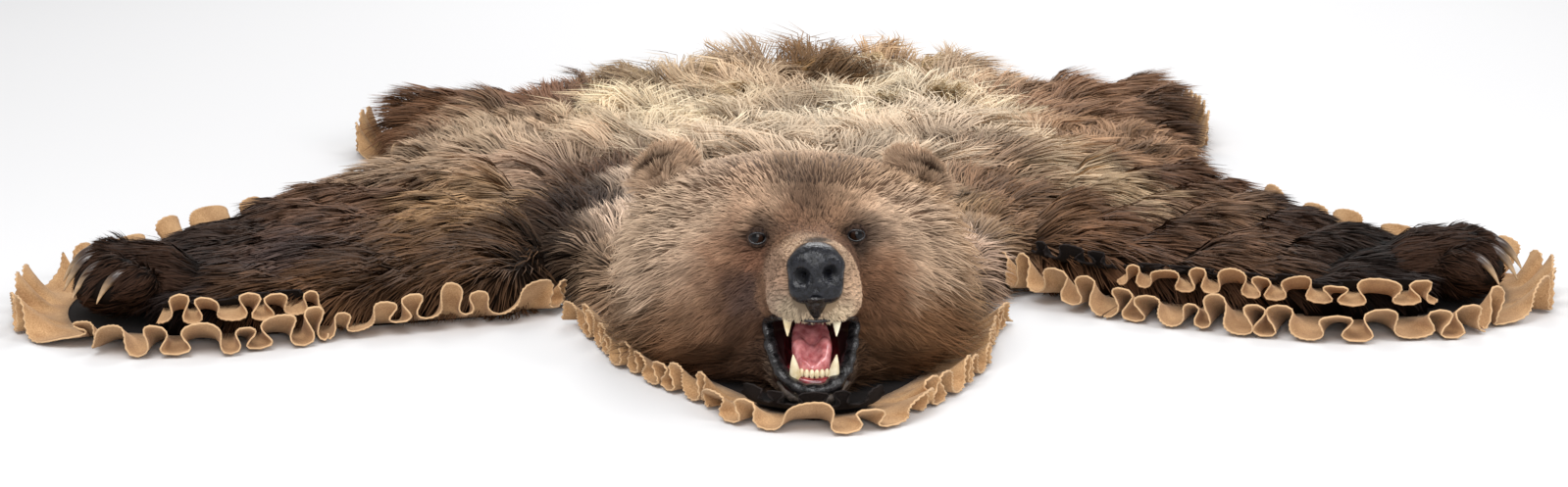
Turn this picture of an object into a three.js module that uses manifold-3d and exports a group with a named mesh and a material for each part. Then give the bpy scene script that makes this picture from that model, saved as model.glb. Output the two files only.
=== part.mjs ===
// A bearskin rug lying flat on the floor: a furry hide on a black felt backing, a mounted
// head with an open mouth, two clawed front paws, and a gathered tan felt border.
// Millimetres. +X is to the right of someone facing the head, +Y runs from head to rump, +Z is up.

import * as THREE from "three";
import { mergeVertices } from "three/addons/utils/BufferGeometryUtils.js";
import Module from "manifold-3d";

const wasm = await Module();
wasm.setup();

// Driving dimensions
const FELT = 2; // thickness of every felt sheet
const GAP = 0.3; // left between pieces that touch on the real rug
const BED = 2 * (FELT + GAP); // underside of the hide, above backing and border
const LEDGE = 16; // how far the hide's skin sits back under its own fur
const FOOT = 44; // how far back the hide meets its bed
const FOOT_Z = 15; // height of the hide's underside between its foot and its ledge
const LEDGE_Z = 44.3; // height at which the fur starts to overhang
const TUFT = 14; // height of the lumps that the fur forms
const MARGIN = 12; // width of border felt that is sewn in under the hide
const PLEAT_STEPS = 4; // points along one pleat

// Rows of a table as objects, under the names of its columns.
function table(columns, ...rows) {
  return rows.map((row) => Object.fromEntries(columns.map((column, i) => [column, row[i]])));
}

const COLOURS = {
  fur: 0x8b6a4c,
  head: 0x7d5f45,
  ear: 0x6e543e,
  paw: 0x2b1f1a,
  claw: 0x4a3428,
  tan: 0xc89b6e,
  black: 0x1d1a1c,
  eye: 0x0c0a0a,
  nose: 0x24262b,
  tongue: 0xa8434a,
  tooth: 0xe9dfc4,
};

// Limbs, each a row of ribs from its root to its end. a is the front or left end of a rib
// and b its rear or right end. The fur covers the ribs before bareFrom, the felt all of them.
const LIMBS = {
  torso: {
    columns: 12,
    bulge: 55,
    ribs: [
      { a: [-184, -535], b: [204, -535], high: 90 },
      { a: [-226, -430], b: [238, -430], high: 102 },
      { a: [-310, -240], b: [300, -240], high: 114 },
      { a: [-420, -60], b: [440, -60], high: 114 },
      { a: [-560, 160], b: [590, 150], high: 110 },
      { a: [-568, 380], b: [592, 380], high: 106 },
      { a: [-560, 560], b: [605, 560], high: 104 },
      { a: [-520, 700], b: [560, 720], high: 104 },
      { a: [-350, 808], b: [400, 830], high: 104 },
      { a: [-130, 870], b: [270, 890], high: 108 },
    ],
  },
  foreLeft: {
    columns: 8,
    bulge: 45,
    bareFrom: 6,
    ribs: [
      { a: [-330, -180], b: [-470, 330], high: 110 },
      { a: [-322, -330], b: [-570, 250], high: 106 },
      { a: [-350, -418], b: [-635, 175], high: 100 },
      { a: [-460, -455], b: [-705, 70], high: 94 },
      { a: [-590, -497], b: [-775, -60], high: 88 },
      { a: [-705, -535], b: [-835, -165], high: 82 },
      { a: [-775, -545], b: [-870, -225], high: 76 },
      { a: [-865, -530], b: [-918, -300], high: 70 },
    ],
  },
  foreRight: {
    columns: 8,
    bulge: 36,
    bareFrom: 6,
    ribs: [
      { a: [330, -190], b: [470, 300], high: 110 },
      { a: [345, -270], b: [580, 225], high: 106 },
      { a: [400, -325], b: [650, 120], high: 100 },
      { a: [505, -375], b: [725, -20], high: 94 },
      { a: [620, -418], b: [800, -115], high: 88 },
      { a: [735, -458], b: [868, -165], high: 82 },
      { a: [815, -450], b: [915, -195], high: 78 },
      { a: [895, -425], b: [950, -245], high: 70 },
    ],
  },
  hindLeft: {
    columns: 6,
    bulge: 10,
    bareFrom: 2,
    ribs: [
      { a: [-440, 770], b: [-440, 470], high: 100 },
      { a: [-560, 735], b: [-560, 555], high: 98 },
      { a: [-606, 716], b: [-610, 590], high: 86 },
      { a: [-630, 710], b: [-634, 594], high: 60 },
    ],
  },
  hindRight: {
    columns: 6,
    bulge: 10,
    bareFrom: 2,
    ribs: [
      { a: [430, 840], b: [430, 520], high: 100 },
      { a: [560, 888], b: [570, 600], high: 98 },
      { a: [608, 908], b: [616, 650], high: 84 },
      { a: [640, 926], b: [646, 640], high: 60 },
    ],
  },
  // The felt under the head, which has no hide of its own.
  throat: {
    bulge: 62,
    bareFrom: 0,
    ribs: [
      { a: [-240, -440], b: [250, -440] },
      { a: [-196, -520], b: [218, -520] },
      { a: [-172, -600], b: [205, -600] },
      { a: [-140, -680], b: [188, -690] },
      { a: [-95, -760], b: [155, -775] },
      { a: [-45, -840], b: [110, -850] },
    ],
  },
};

// Locks along the rim of the hide, between two ribs of a limb's side, or shares of its end.
const LOCKS = table(
  ["limb", "side", "from", "to", "count"],
  ["foreLeft", "a", 1.2, 5.9, 9],
  ["foreLeft", "b", 1.6, 5.9, 6],
  ["foreRight", "a", 2.6, 5.9, 9],
  ["foreRight", "b", 1.4, 5.9, 6],
  ["torso", "a", 4.3, 6.3, 4],
  ["torso", "b", 4.3, 6.4, 4],
  ["torso", "a", 7.2, 9, 4],
  ["torso", "b", 7.6, 9, 3],
  ["torso", "cap", 0.06, 0.94, 4],
  ["hindLeft", "a", 0.6, 2, 2],
  ["hindLeft", "b", 0.9, 2, 2],
  ["hindRight", "a", 0.6, 2, 2],
  ["hindRight", "b", 1.1, 2, 2],
);
// A lock's length beyond the rim, width, height, place in the dome, hidden root, droop and knee.
const LOCK = { long: 30, wide: 24, bend: 11, rise: 0.54, root: 44, droop: 4, knee: 0.4 };

// Rows of gathered felt. reach is the overhang at the start, middle and end, crest the
// height of a pleat at its outer edge, pleat its width, lift how far the outer edge is
// raised, and row says what the felt is sewn under.
const LOWER_Z = FELT + GAP + FELT / 2;
const UPPER_Z = LEDGE_Z - 3 * GAP - 1.5 * FELT;
const BLACK_Z = LEDGE_Z - 2 * GAP - FELT / 2;
const ROWS = {
  lower: { start: -MARGIN, z: LOWER_Z, rim: LOWER_Z, outer: LOWER_Z, levels: [0, 1], colour: "tan" },
  upper: { start: -MARGIN, z: UPPER_Z, rim: UPPER_Z, outer: 34, levels: [0, 0.5, 1], colour: "tan" },
  trim: { start: -MARGIN, z: BLACK_Z, rim: BLACK_Z, outer: 52, levels: [0, 1], colour: "black" },
  throat: { start: -44, z: LOWER_Z, rim: 13, outer: 19, levels: [0, 1], colour: "black" },
  foot: { start: -24, z: LOWER_Z, rim: 15, outer: 26, levels: [0, 1], colour: "black" },
};
const BORDERS = table(
  ["name", "row", "limb", "side", "from", "to", "reach", "crest", "pleat", "lift"],
  ["border_neck_left", "lower", "throat", "a", 0.1, 4.9, [52, 56, 50], 34, 42, 0],
  ["border_chin", "lower", "throat", "cap", 0.04, 0.96, [50, 66, 62], 36, 42, 0],
  ["border_neck_right", "lower", "throat", "b", 0.1, 4.9, [50, 54, 58], 36, 42, 0],
  ["border_shoulder_left", "lower", "foreLeft", "a", 1.3, 4, [44, 62, 70], 38, 44, 18],
  ["border_leg_left", "lower", "foreLeft", "a", 4.06, 6.6, [72, 96, 92], 40, 44, 0],
  ["border_leg_left_upper", "upper", "foreLeft", "a", 4, 6, [50, 58, 54], 30, 40, 0],
  ["border_tip_left", "lower", "foreLeft", "tip", 6.66, 6.2, [70, 52, 56], 44, 52, 0],
  ["border_leg_left_rear", "lower", "foreLeft", "b", 2.2, 6.14, [46, 52, 56], 44, 88, 0],
  ["border_shoulder_right", "lower", "foreRight", "a", 0.7, 2.5, [60, 84, 100], 40, 42, 14],
  ["border_leg_right", "lower", "foreRight", "a", 2.56, 6.5, [104, 128, 88], 40, 44, 0],
  ["border_leg_right_upper", "upper", "foreRight", "a", 2.5, 6, [50, 60, 52], 31, 44, 0],
  ["border_tip_right", "lower", "foreRight", "tip", 6.56, 6.2, [74, 46, 50], 46, 54, 0],
  ["border_leg_right_rear", "lower", "foreRight", "b", 2, 6.14, [46, 50, 52], 44, 88, 0],
  ["border_flank_left", "lower", "torso", "a", 4.5, 6, [44, 46, 40], 34, 92, 0],
  ["border_flank_right", "lower", "torso", "b", 4.5, 6, [44, 46, 36], 34, 92, 0],
  ["border_hind_left", "lower", "hindLeft", "cap", 0, 1, [34, 40, 44], 58, 40, 0],
  ["border_hind_right", "lower", "hindRight", "cap", 0, 1, [34, 36, 30], 52, 38, 0],
  ["border_haunch_left", "lower", "torso", "a", 7.1, 8.7, [42, 48, 46], 36, 92, 0],
  ["border_haunch_right", "lower", "torso", "b", 8.05, 8.65, [36, 44, 46], 36, 92, 0],
  ["border_rump", "lower", "torso", "cap", 0.08, 0.92, [44, 46, 44], 36, 92, 0],
  ["trim_throat", "throat", "throat", "cap", 0.1, 0.9, [10, 12, 10], 16, 40, 0],
  ["trim_leg_left", "trim", "foreLeft", "a", 4, 6, [18, 20, 20], 7, 62, 0],
  ["trim_leg_right", "trim", "foreRight", "a", 2.5, 6, [20, 20, 20], 7, 62, 0],
  ["trim_shoulder_right", "trim", "foreRight", "a", 1.1, 2.4, [24, 30, 26], 22, 44, 0],
  ["trim_hind_right", "foot", "hindRight", "cap", 0.06, 0.94, [2, 3, 2], 18, 44, 0],
);

// The head, as rings across it from nose to neck. mid is the ring's middle in X, wide the
// height at which it is widest, half its half width there.
const SKULL = [
  { y: -908, mid: 36, top: 190, wide: 160, low: 130, half: 25 },
  { y: -897, mid: 36, top: 203, wide: 156, low: 114, half: 39 },
  { y: -872, mid: 35, top: 207, wide: 146, low: 109, half: 50 },
  { y: -840, mid: 33, top: 208, wide: 140, low: 99, half: 56 },
  { y: -812, mid: 30, top: 212, wide: 135, low: 86, half: 66 },
  { y: -790, mid: 27, top: 221, wide: 128, low: 52, half: 92 },
  { y: -765, mid: 24, top: 238, wide: 124, low: 24, half: 126 },
  { y: -735, mid: 20, top: 258, wide: 126, low: BED, half: 166 },
  { y: -700, mid: 15, top: 272, wide: 132, low: BED, half: 196 },
  { y: -650, mid: 11, top: 274, wide: 134, low: BED, half: 204 },
  { y: -600, mid: 8, top: 262, wide: 128, low: BED, half: 196 },
  { y: -555, mid: 6, top: 232, wide: 112, low: BED, half: 172 },
  { y: -522, mid: 5, top: 186, wide: 92, low: BED, half: 138 },
];
const JAW = [
  { y: -889, mid: 34, top: 35, wide: 28, low: 20, half: 17 },
  { y: -878, mid: 34, top: 42, wide: 30, low: 14, half: 32 },
  { y: -855, mid: 33, top: 56, wide: 36, low: 10, half: 41 },
  { y: -830, mid: 32, top: 71, wide: 42, low: 8, half: 50 },
  { y: -805, mid: 30, top: 88, wide: 52, low: 7, half: 62 },
  { y: -778, mid: 27, top: 100, wide: 60, low: 6, half: 90 },
];
const MOUTH = [
  { y: -878, mid: 34, top: 112, wide: 70, low: 38, half: 21 },
  { y: -866, mid: 34, top: 121, wide: 74, low: 34, half: 29 },
  { y: -840, mid: 33, top: 119, wide: 80, low: 44, half: 32 },
  { y: -810, mid: 31, top: 112, wide: 84, low: 60, half: 29 },
  { y: -780, mid: 29, top: 102, wide: 88, low: 74, half: 20 },
];
const NOSE_PAD = [
  { y: -922, mid: 36, top: 186, wide: 172, low: 150, half: 18 },
  { y: -917, mid: 36, top: 199, wide: 174, low: 142, half: 30 },
  { y: -907, mid: 36, top: 206, wide: 176, low: 137, half: 33 },
  { y: -894, mid: 36, top: 208, wide: 180, low: 146, half: 30 },
];
const TONGUE = [
  { y: -866, mid: 33, top: 62, wide: 54, low: 36, half: 12 },
  { y: -856, mid: 33, top: 70, wide: 58, low: 38, half: 20 },
  { y: -835, mid: 32, top: 82, wide: 68, low: 45, half: 23 },
  { y: -808, mid: 31, top: 94, wide: 78, low: 60, half: 21 },
  { y: -794, mid: 31, top: 94, wide: 84, low: 68, half: 14 },
];
const TONGUE_GROOVE = 5; // depth of the fold along the tongue
const EYES = [
  { name: "eye_left", at: [-31, -797, 191] },
  { name: "eye_right", at: [84, -795, 194] },
];
const EYE_RADIUS = 12;
const EARS = [
  { name: "ear_left", at: [-143, -655, 234], turn: -0.62, wide: 66, high: 50 },
  { name: "ear_right", at: [158, -655, 228], turn: 0.62, wide: 70, high: 50 },
];
const CANINES = [
  { name: "canine_upper_left", root: [4, -873, 122], tip: [4, -880, 97], thick: 5.5 },
  { name: "canine_upper_right", root: [61, -873, 122], tip: [60, -880, 97], thick: 5.5 },
  { name: "canine_lower_left", root: [12.5, -864, 41], tip: [14, -871, 66], thick: 5 },
  { name: "canine_lower_right", root: [57.5, -864, 41], tip: [57, -871, 66], thick: 5 },
];
const INCISORS = { count: 6, wide: 5.8, high: 11, deep: 5, y: -869, z: 40 };

// Front paws: middle and radii of the paw, radius of a toe, and a row for each claw.
const PAWS = [
  {
    name: "left",
    middle: [-852, -420, 48.5],
    radii: [64, 94, 46],
    toe: 25,
    claws: [
      { root: [-878, -362, 74], tip: [-928, -368, 44] },
      { root: [-882, -398, 78], tip: [-930, -408, 42] },
      { root: [-876, -434, 78], tip: [-920, -452, 40] },
      { root: [-858, -470, 76], tip: [-902, -488, 38] },
      { root: [-826, -496, 70], tip: [-866, -512, 38] },
    ],
  },
  {
    name: "right",
    middle: [886, -330, 48.5],
    radii: [62, 90, 46],
    toe: 25,
    claws: [
      { root: [908, -266, 72], tip: [952, -262, 44] },
      { root: [916, -300, 76], tip: [962, -300, 42] },
      { root: [918, -336, 78], tip: [968, -340, 40] },
      { root: [908, -372, 76], tip: [952, -384, 38] },
      { root: [880, -402, 70], tip: [922, -416, 38] },
    ],
  },
];
const CLAW = { thick: 7, hump: 15 };

// A repeatable number from 0 to 1 for the n-th of many like things.
const chance = (n) => {
  const wave = Math.sin(n * 12.9898 + 4.1414) * 43758.5453;
  return wave - Math.floor(wave);
};

// Lumps of the fur over the floor plan, between -1 and 1, from two crossing waves.
const tuft = (x, y) =>
  0.6 * Math.sin(x / 31 + 1.9 * Math.sin(y / 83)) * Math.sin(y / 43 + x / 190) +
  0.4 * Math.sin(x / 17 - y / 26);

const flat = (point) => new THREE.Vector3(point[0], point[1], 0);

// A closed body from equal rings of points, with a fan over each end.
function ringBody(rings, tip = centre(rings.at(-1))) {
  const around = rings[0].length;
  const points = [...rings.flat(), centre(rings[0]), tip];
  const first = points.length - 2;
  const last = points.length - 1;
  const index = [];
  for (let ring = 0; ring < rings.length; ring += 1)
    for (let k = 0; k < around; k += 1) {
      const next = (k + 1) % around;
      const here = ring * around;
      if (ring === 0) index.push(first, next, k);
      if (ring === rings.length - 1) index.push(last, here + k, here + next);
      else {
        const beyond = here + around;
        index.push(here + k, here + next, beyond + next, here + k, beyond + next, beyond + k);
      }
    }
  return outward(points, index);
}

function centre(points) {
  return points.reduce((sum, point) => sum.add(point), new THREE.Vector3()).divideScalar(points.length);
}

// Points and triangles as a geometry whose faces point out.
function outward(points, index) {
  const volume = new THREE.Vector3();
  let six = 0;
  for (let i = 0; i < index.length; i += 3)
    six += points[index[i]].dot(volume.crossVectors(points[index[i + 1]], points[index[i + 2]]));
  if (six < 0) for (let i = 0; i < index.length; i += 3) [index[i], index[i + 1]] = [index[i + 1], index[i]];
  const geometry = new THREE.BufferGeometry().setFromPoints(points);
  geometry.setIndex(index);
  return geometry;
}

function toSolid(geometry) {
  const bare = geometry.clone();
  bare.deleteAttribute("normal");
  bare.deleteAttribute("uv");
  const merged = mergeVertices(bare, 1e-3);
  return new wasm.Manifold(
    new wasm.Mesh({
      numProp: 3,
      vertProperties: new Float32Array(merged.attributes.position.array),
      triVerts: new Uint32Array(merged.index.array),
    }),
  );
}

function toGeometry(solid) {
  const mesh = solid.getMesh();
  const geometry = new THREE.BufferGeometry();
  geometry.setAttribute("position", new THREE.BufferAttribute(mesh.vertProperties, 3));
  geometry.setIndex(new THREE.BufferAttribute(mesh.triVerts, 1));
  return geometry;
}

// The same body with its surface moved out by more than the gap, as room for it in a neighbour.
function roomFor(geometry) {
  const bare = geometry.clone();
  bare.deleteAttribute("normal");
  bare.deleteAttribute("uv");
  const merged = mergeVertices(bare, 1e-3);
  merged.computeVertexNormals();
  const { position, normal } = merged.attributes;
  const point = new THREE.Vector3();
  const away = new THREE.Vector3();
  for (let i = 0; i < position.count; i += 1) {
    away.fromBufferAttribute(normal, i);
    point.fromBufferAttribute(position, i).addScaledVector(away, GAP * 1.5);
    position.setXYZ(i, point.x, point.y, point.z);
  }
  return toSolid(merged);
}

// A body with room cut for each neighbour, without the scraps that a cut leaves.
function cutFor(body, neighbours) {
  const rest = neighbours.reduce((left, geometry) => left.subtract(roomFor(geometry)), body);
  return rest.decompose().reduce((best, piece) => (piece.volume() > best.volume() ? piece : best));
}

// The edges of a limb: curves through the ends of its ribs, and the rounded end between them.
function edges(limb, bulge = LIMBS[limb].bulge) {
  const { ribs } = LIMBS[limb];
  const a = new THREE.CatmullRomCurve3(ribs.map((rib) => flat(rib.a)));
  const b = new THREE.CatmullRomCurve3(ribs.map((rib) => flat(rib.b)));
  const [endA, endB] = [flat(ribs.at(-1).a), flat(ribs.at(-1).b)];
  const middle = endA.clone().add(endB).divideScalar(2);
  const half = endA.clone().sub(middle);
  const beyond = middle.clone().sub(flat(ribs.at(-2).a).add(flat(ribs.at(-2).b)).divideScalar(2));
  beyond.normalize().multiplyScalar(bulge);
  const cap = (share) => {
    const angle = Math.PI * share;
    return middle.clone().addScaledVector(half, Math.cos(angle)).addScaledVector(beyond, Math.sin(angle));
  };
  const last = ribs.length - 1;
  return { a: (t) => a.getPoint(t / last), b: (t) => b.getPoint(t / last), cap, last, middle };
}

// Points along one side of a limb, evenly spaced in the table's own measure.
function sidePath(row) {
  const { a, b, cap, last } = edges(row.limb);
  const between = (side, from, to, count) =>
    Array.from({ length: count + 1 }, (_, i) => side(from + ((to - from) * i) / count));
  if (row.side === "a") return between(a, row.from, row.to, 12);
  if (row.side === "b") return between(b, row.from, row.to, 12);
  if (row.side === "cap") return between(cap, row.from, row.to, 12);
  return [...between(a, row.from, last, 3), ...between(cap, 0.1, 0.9, 8), ...between(b, last, row.to, 4)];
}

// The path of a row, with the direction away from the limb at each share of its length.
function outwardPath(row) {
  const curve = new THREE.CatmullRomCurve3(sidePath(row), false, "centripetal");
  const { middle } = edges(row.limb);
  const { ribs } = LIMBS[row.limb];
  const waist = ribs[Math.floor(ribs.length / 2)];
  const inside = flat(waist.a).add(flat(waist.b)).divideScalar(2);
  const heart = row.side === "cap" || row.side === "tip" ? middle.lerp(inside, 0.5) : inside;
  const away = (share) => {
    const along = curve.getTangentAt(share);
    return new THREE.Vector3(along.y, -along.x, 0);
  };
  const sign = Math.sign(away(0.5).dot(curve.getPointAt(0.5).sub(heart)));
  return { curve, away: (share) => away(share).multiplyScalar(sign), long: curve.getLength() };
}

// Ribs of a limb worked out between the table's rows, up to where its fur ends.
function ribsOf(limb) {
  const { ribs, bareFrom = ribs.length - 1 } = LIMBS[limb];
  const { a, b } = edges(limb);
  const perRib = 2;
  return Array.from({ length: bareFrom * perRib + 1 }, (_, i) => {
    const t = i / perRib;
    const row = Math.min(Math.floor(t), ribs.length - 2);
    return { a: a(t), b: b(t), high: THREE.MathUtils.lerp(ribs[row].high, ribs[row + 1].high, t - row) };
  });
}

// Narrower and narrower ribs that round off the end of a limb, set back from its felt.
function capRibs(limb) {
  const { ribs, bulge } = LIMBS[limb];
  const { cap } = edges(limb, bulge - LEDGE);
  return [0.14, 0.28, 0.4].map((share) => ({
    a: cap(share),
    b: cap(1 - share),
    high: LEDGE_Z + (ribs.at(-1).high - LEDGE_Z) * Math.cos(Math.PI * share * 0.8),
  }));
}

// One rib's section: foot, ledge under the fur, lumpy dome, ledge, foot.
function ribSection({ a, b, high }, columns) {
  const across = b.clone().sub(a);
  const ledge = Math.min(LEDGE / across.length(), 0.25);
  const foot = Math.min(FOOT / across.length(), 0.32);
  const at = (u, z) => a.clone().addScaledVector(across, u).setZ(z);
  const dome = Array.from({ length: columns - 1 }, (_, k) => {
    const u = 0.5 - 0.5 * Math.cos((Math.PI * (k + 1)) / columns);
    const point = at(u, 0);
    const fullness = Math.pow(4 * u * (1 - u), 0.3);
    point.z = LEDGE_Z + (high - LEDGE_Z) * fullness + TUFT * tuft(point.x, point.y) * fullness;
    return point;
  });
  return [
    at(foot, BED),
    at(ledge, FOOT_Z),
    at(ledge, LEDGE_Z),
    at(0, LEDGE_Z),
    ...dome,
    at(1, LEDGE_Z),
    at(1 - ledge, LEDGE_Z),
    at(1 - ledge, FOOT_Z),
    at(1 - foot, BED),
  ];
}

// One lock at the rim: a three-sided spike that leaves the fur sideways and droops.
function lockBody(foot, away, high, n) {
  const along = new THREE.Vector3(-away.y, away.x, 0);
  const swing = (chance(n) - 0.5) * 0.9;
  const reach = LOCK.long * (0.75 + 0.5 * chance(n + 71));
  const heading = away.clone().addScaledVector(along, swing).normalize();
  const at = (out, side, z) =>
    foot.clone().addScaledVector(heading, out).addScaledVector(along, side).setZ(z);
  const base = LEDGE_Z + (high - LEDGE_Z) * LOCK.rise;
  const half = LOCK.wide / 2;
  const ring = (out, low) => [at(out, -half, low), at(out, half, low), at(out, 0, base + LOCK.bend)];
  const low = base - LOCK.droop;
  return ringBody([ring(-LOCK.root, low), ring(reach * LOCK.knee, base)], at(reach, 0, low));
}

function rimLocks() {
  return LOCKS.flatMap((row, group) => {
    const { curve, away } = outwardPath(row);
    const { ribs } = LIMBS[row.limb];
    return Array.from({ length: row.count }, (_, i) => {
      const share = (i + 0.5) / row.count;
      const t = row.side === "cap" ? ribs.length - 1 : row.from + (row.to - row.from) * share;
      const high = ribs[Math.min(Math.floor(t), ribs.length - 1)].high;
      return toSolid(lockBody(curve.getPointAt(share), away(share), high, group * 37 + i));
    });
  });
}

// The hide: its limbs and rim locks joined, with room for the head and paws.
function hideGeometry(neighbours) {
  const furred = Object.keys(LIMBS).filter((limb) => LIMBS[limb].bareFrom !== 0);
  const bodies = furred.map((limb) => {
    const ends = LIMBS[limb].bareFrom ? [] : capRibs(limb);
    const sections = [...ribsOf(limb), ...ends].map((rib) => ribSection(rib, LIMBS[limb].columns));
    return toSolid(ringBody(sections));
  });
  const whole = [...bodies, ...rimLocks()].reduce((sum, body) => sum.add(body));
  return toGeometry(cutFor(whole, neighbours));
}

// The backing: one sheet of black felt under the whole rug.
function backingGeometry() {
  const sheets = Object.keys(LIMBS).map((limb) => {
    const { a, b, cap, last } = edges(limb);
    const side = (edge) => Array.from({ length: last + 1 }, (_, i) => edge(i));
    const round = [0.15, 0.3, 0.5, 0.7, 0.85].map(cap);
    const outline = [...side(a), ...round, ...side(b).reverse()];
    const shape = new THREE.Shape(outline.map(({ x, y }) => new THREE.Vector2(x, y)));
    return toSolid(new THREE.ExtrudeGeometry(shape, { depth: FELT, bevelEnabled: false }));
  });
  return toGeometry(sheets.reduce((sum, sheet) => sum.add(sheet)));
}

// A gathered strip of felt: flat where it is sewn in, in pleats at its free edge.
function gatheredGeometry(row, seed) {
  const { curve, away, long } = outwardPath(row);
  const { start, z, rim, outer, levels } = ROWS[row.row];
  const pleats = Math.max(2, Math.round(long / row.pleat));
  const steps = pleats * PLEAT_STEPS;
  const middle = Array.from({ length: steps + 1 }, (_, i) => {
    const share = i / steps;
    const phase = (2 * Math.PI * i) / PLEAT_STEPS + 0.9 * Math.sin(3.1 * share * pleats + seed);
    const uneven = 0.72 + 0.56 * chance(seed * 19 + Math.floor((i / PLEAT_STEPS) * 1.3));
    const reach = share < 0.5
      ? THREE.MathUtils.lerp(row.reach[0], row.reach[1], share * 2)
      : THREE.MathUtils.lerp(row.reach[1], row.reach[2], share * 2 - 1);
    const raised = row.lift * Math.sin(Math.PI * share);
    const at = (out, height) => curve.getPointAt(share).addScaledVector(away(share), out).setZ(height);
    const free = levels.map((level) => {
      const crest = (row.crest * uneven * Math.pow(level, 1.5) * (1 - Math.cos(phase))) / 2;
      return at(reach * level, rim + (outer - rim + raised) * level + crest);
    });
    return [at(start, z), ...free];
  });
  return sheetBody(middle, FELT);
}

// A closed sheet of even thickness on a grid of points.
function sheetBody(grid, thick) {
  const rows = grid.length;
  const columns = grid[0].length;
  const lift = grid.map((line, i) =>
    line.map((_, j) => {
      const along = grid[Math.min(i + 1, rows - 1)][j].clone().sub(grid[Math.max(i - 1, 0)][j]);
      const across = line[Math.min(j + 1, columns - 1)].clone().sub(line[Math.max(j - 1, 0)]);
      const up = along.cross(across).normalize();
      return up.multiplyScalar((Math.sign(up.z || 1) * thick) / 2);
    }),
  );
  const moved = (sign) =>
    grid.flatMap((line, i) => line.map((point, j) => point.clone().addScaledVector(lift[i][j], sign)));
  const points = [...moved(1), ...moved(-1)];
  const under = rows * columns;
  const index = [];
  const quad = (p, q, r, s) => index.push(p, q, r, p, r, s);
  const at = (i, j) => i * columns + j;
  for (let i = 0; i < rows - 1; i += 1)
    for (let j = 0; j < columns - 1; j += 1) {
      quad(at(i, j), at(i + 1, j), at(i + 1, j + 1), at(i, j + 1));
      quad(under + at(i, j), under + at(i, j + 1), under + at(i + 1, j + 1), under + at(i + 1, j));
    }
  const wall = (p, q) => quad(q, p, under + p, under + q);
  for (let i = 0; i < rows - 1; i += 1) {
    wall(at(i, 0), at(i + 1, 0));
    wall(at(i + 1, columns - 1), at(i, columns - 1));
  }
  for (let j = 0; j < columns - 1; j += 1) {
    wall(at(0, j + 1), at(0, j));
    wall(at(rows - 1, j), at(rows - 1, j + 1));
  }
  return outward(points, index);
}

// A ring of the head or of something in it, squarer below than above.
function headRing({ y, mid, top, wide, low, half }, around, groove = 0) {
  return Array.from({ length: around }, (_, k) => {
    const angle = (2 * Math.PI * k) / around;
    const [c, s] = [Math.cos(angle), Math.sin(angle)];
    const square = s < 0 ? 0.55 : 0.85;
    const across = Math.sign(c) * Math.pow(Math.abs(c), square) * half;
    const upDown = Math.sign(s) * Math.pow(Math.abs(s), square);
    const z = wide + (s > 0 ? top - wide : wide - low) * upDown;
    const dip = s > 0 ? groove * Math.pow(s, 8) : 0;
    return new THREE.Vector3(mid + across, y, z - dip);
  });
}

const headLoft = (rows, around, groove) => ringBody(rows.map((row) => headRing(row, around, groove)));

function eyeGeometry({ at }) {
  return new THREE.SphereGeometry(EYE_RADIUS, 10, 7).translate(...at);
}

// An ear: a thick rounded shell, upright, turned outward.
function earGeometry({ at, turn, wide, high }) {
  const around = 14;
  const rings = [-0.5, 0, 0.5].map((level) =>
    Array.from({ length: around }, (_, k) => {
      const angle = (2 * Math.PI * k) / around;
      const size = level === 0 ? 1 : 0.72;
      return new THREE.Vector3(
        (wide / 2) * size * Math.cos(angle),
        level * 24 + 8 * Math.cos(angle) ** 2,
        (high / 2) * size * Math.sin(angle),
      );
    }),
  );
  return ringBody(rings).rotateY(turn).translate(...at);
}

// A horn or tooth: a tapering six-sided spike on a curve from root to tip.
function spikeGeometry({ root, tip }, thick, hump) {
  const start = new THREE.Vector3(...root);
  const end = new THREE.Vector3(...tip);
  const bend = start.clone().lerp(end, 0.55).add(new THREE.Vector3(0, 0, hump));
  const curve = new THREE.QuadraticBezierCurve3(start, bend, end);
  const frames = [0, 0.25, 0.5, 0.75, 1].map((t) => {
    const along = curve.getTangent(t);
    const side = new THREE.Vector3().crossVectors(along, new THREE.Vector3(0.1, 0.3, 1)).normalize();
    const over = new THREE.Vector3().crossVectors(side, along);
    const radius = thick * (1 - 0.9 * Math.pow(t, 1.6));
    return Array.from({ length: 6 }, (_, k) => {
      const angle = (Math.PI * k) / 3;
      return curve
        .getPoint(t)
        .addScaledVector(side, 0.75 * radius * Math.cos(angle))
        .addScaledVector(over, radius * Math.sin(angle));
    });
  });
  return ringBody(frames);
}

// The lower front teeth: one row on its gum, notched between the teeth.
function incisorGeometry() {
  const { count, wide, high, deep, y, z } = INCISORS;
  const shape = new THREE.Shape();
  const half = (count * wide) / 2;
  shape.moveTo(-half, 0);
  for (let i = 0; i < count; i += 1) {
    const left = -half + i * wide;
    shape.lineTo(left + wide * 0.15, high);
    shape.lineTo(left + wide * 0.85, high);
    shape.lineTo(left + wide, i === count - 1 ? 0 : high * 0.45);
  }
  const row = new THREE.ExtrudeGeometry(shape, { depth: deep, bevelEnabled: false });
  return row.rotateX(Math.PI / 2).translate(35, y + deep / 2, z);
}

function pawBody({ middle, radii, toe, claws }) {
  const palm = new THREE.SphereGeometry(1, 12, 7).rotateX(Math.PI / 2).scale(...radii).translate(...middle);
  const toes = claws.map(({ root, tip }) => {
    const [x, y] = [root[0] * 0.75 + tip[0] * 0.25 - Math.sign(root[0]) * toe * 0.75, root[1]];
    return new THREE.SphereGeometry(toe, 8, 5).rotateX(Math.PI / 2).translate(x, y, root[2] - toe * 0.45);
  });
  return [palm, ...toes].map(toSolid).reduce((sum, body) => sum.add(body));
}

// Scene
const rug = new THREE.Group();

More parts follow.
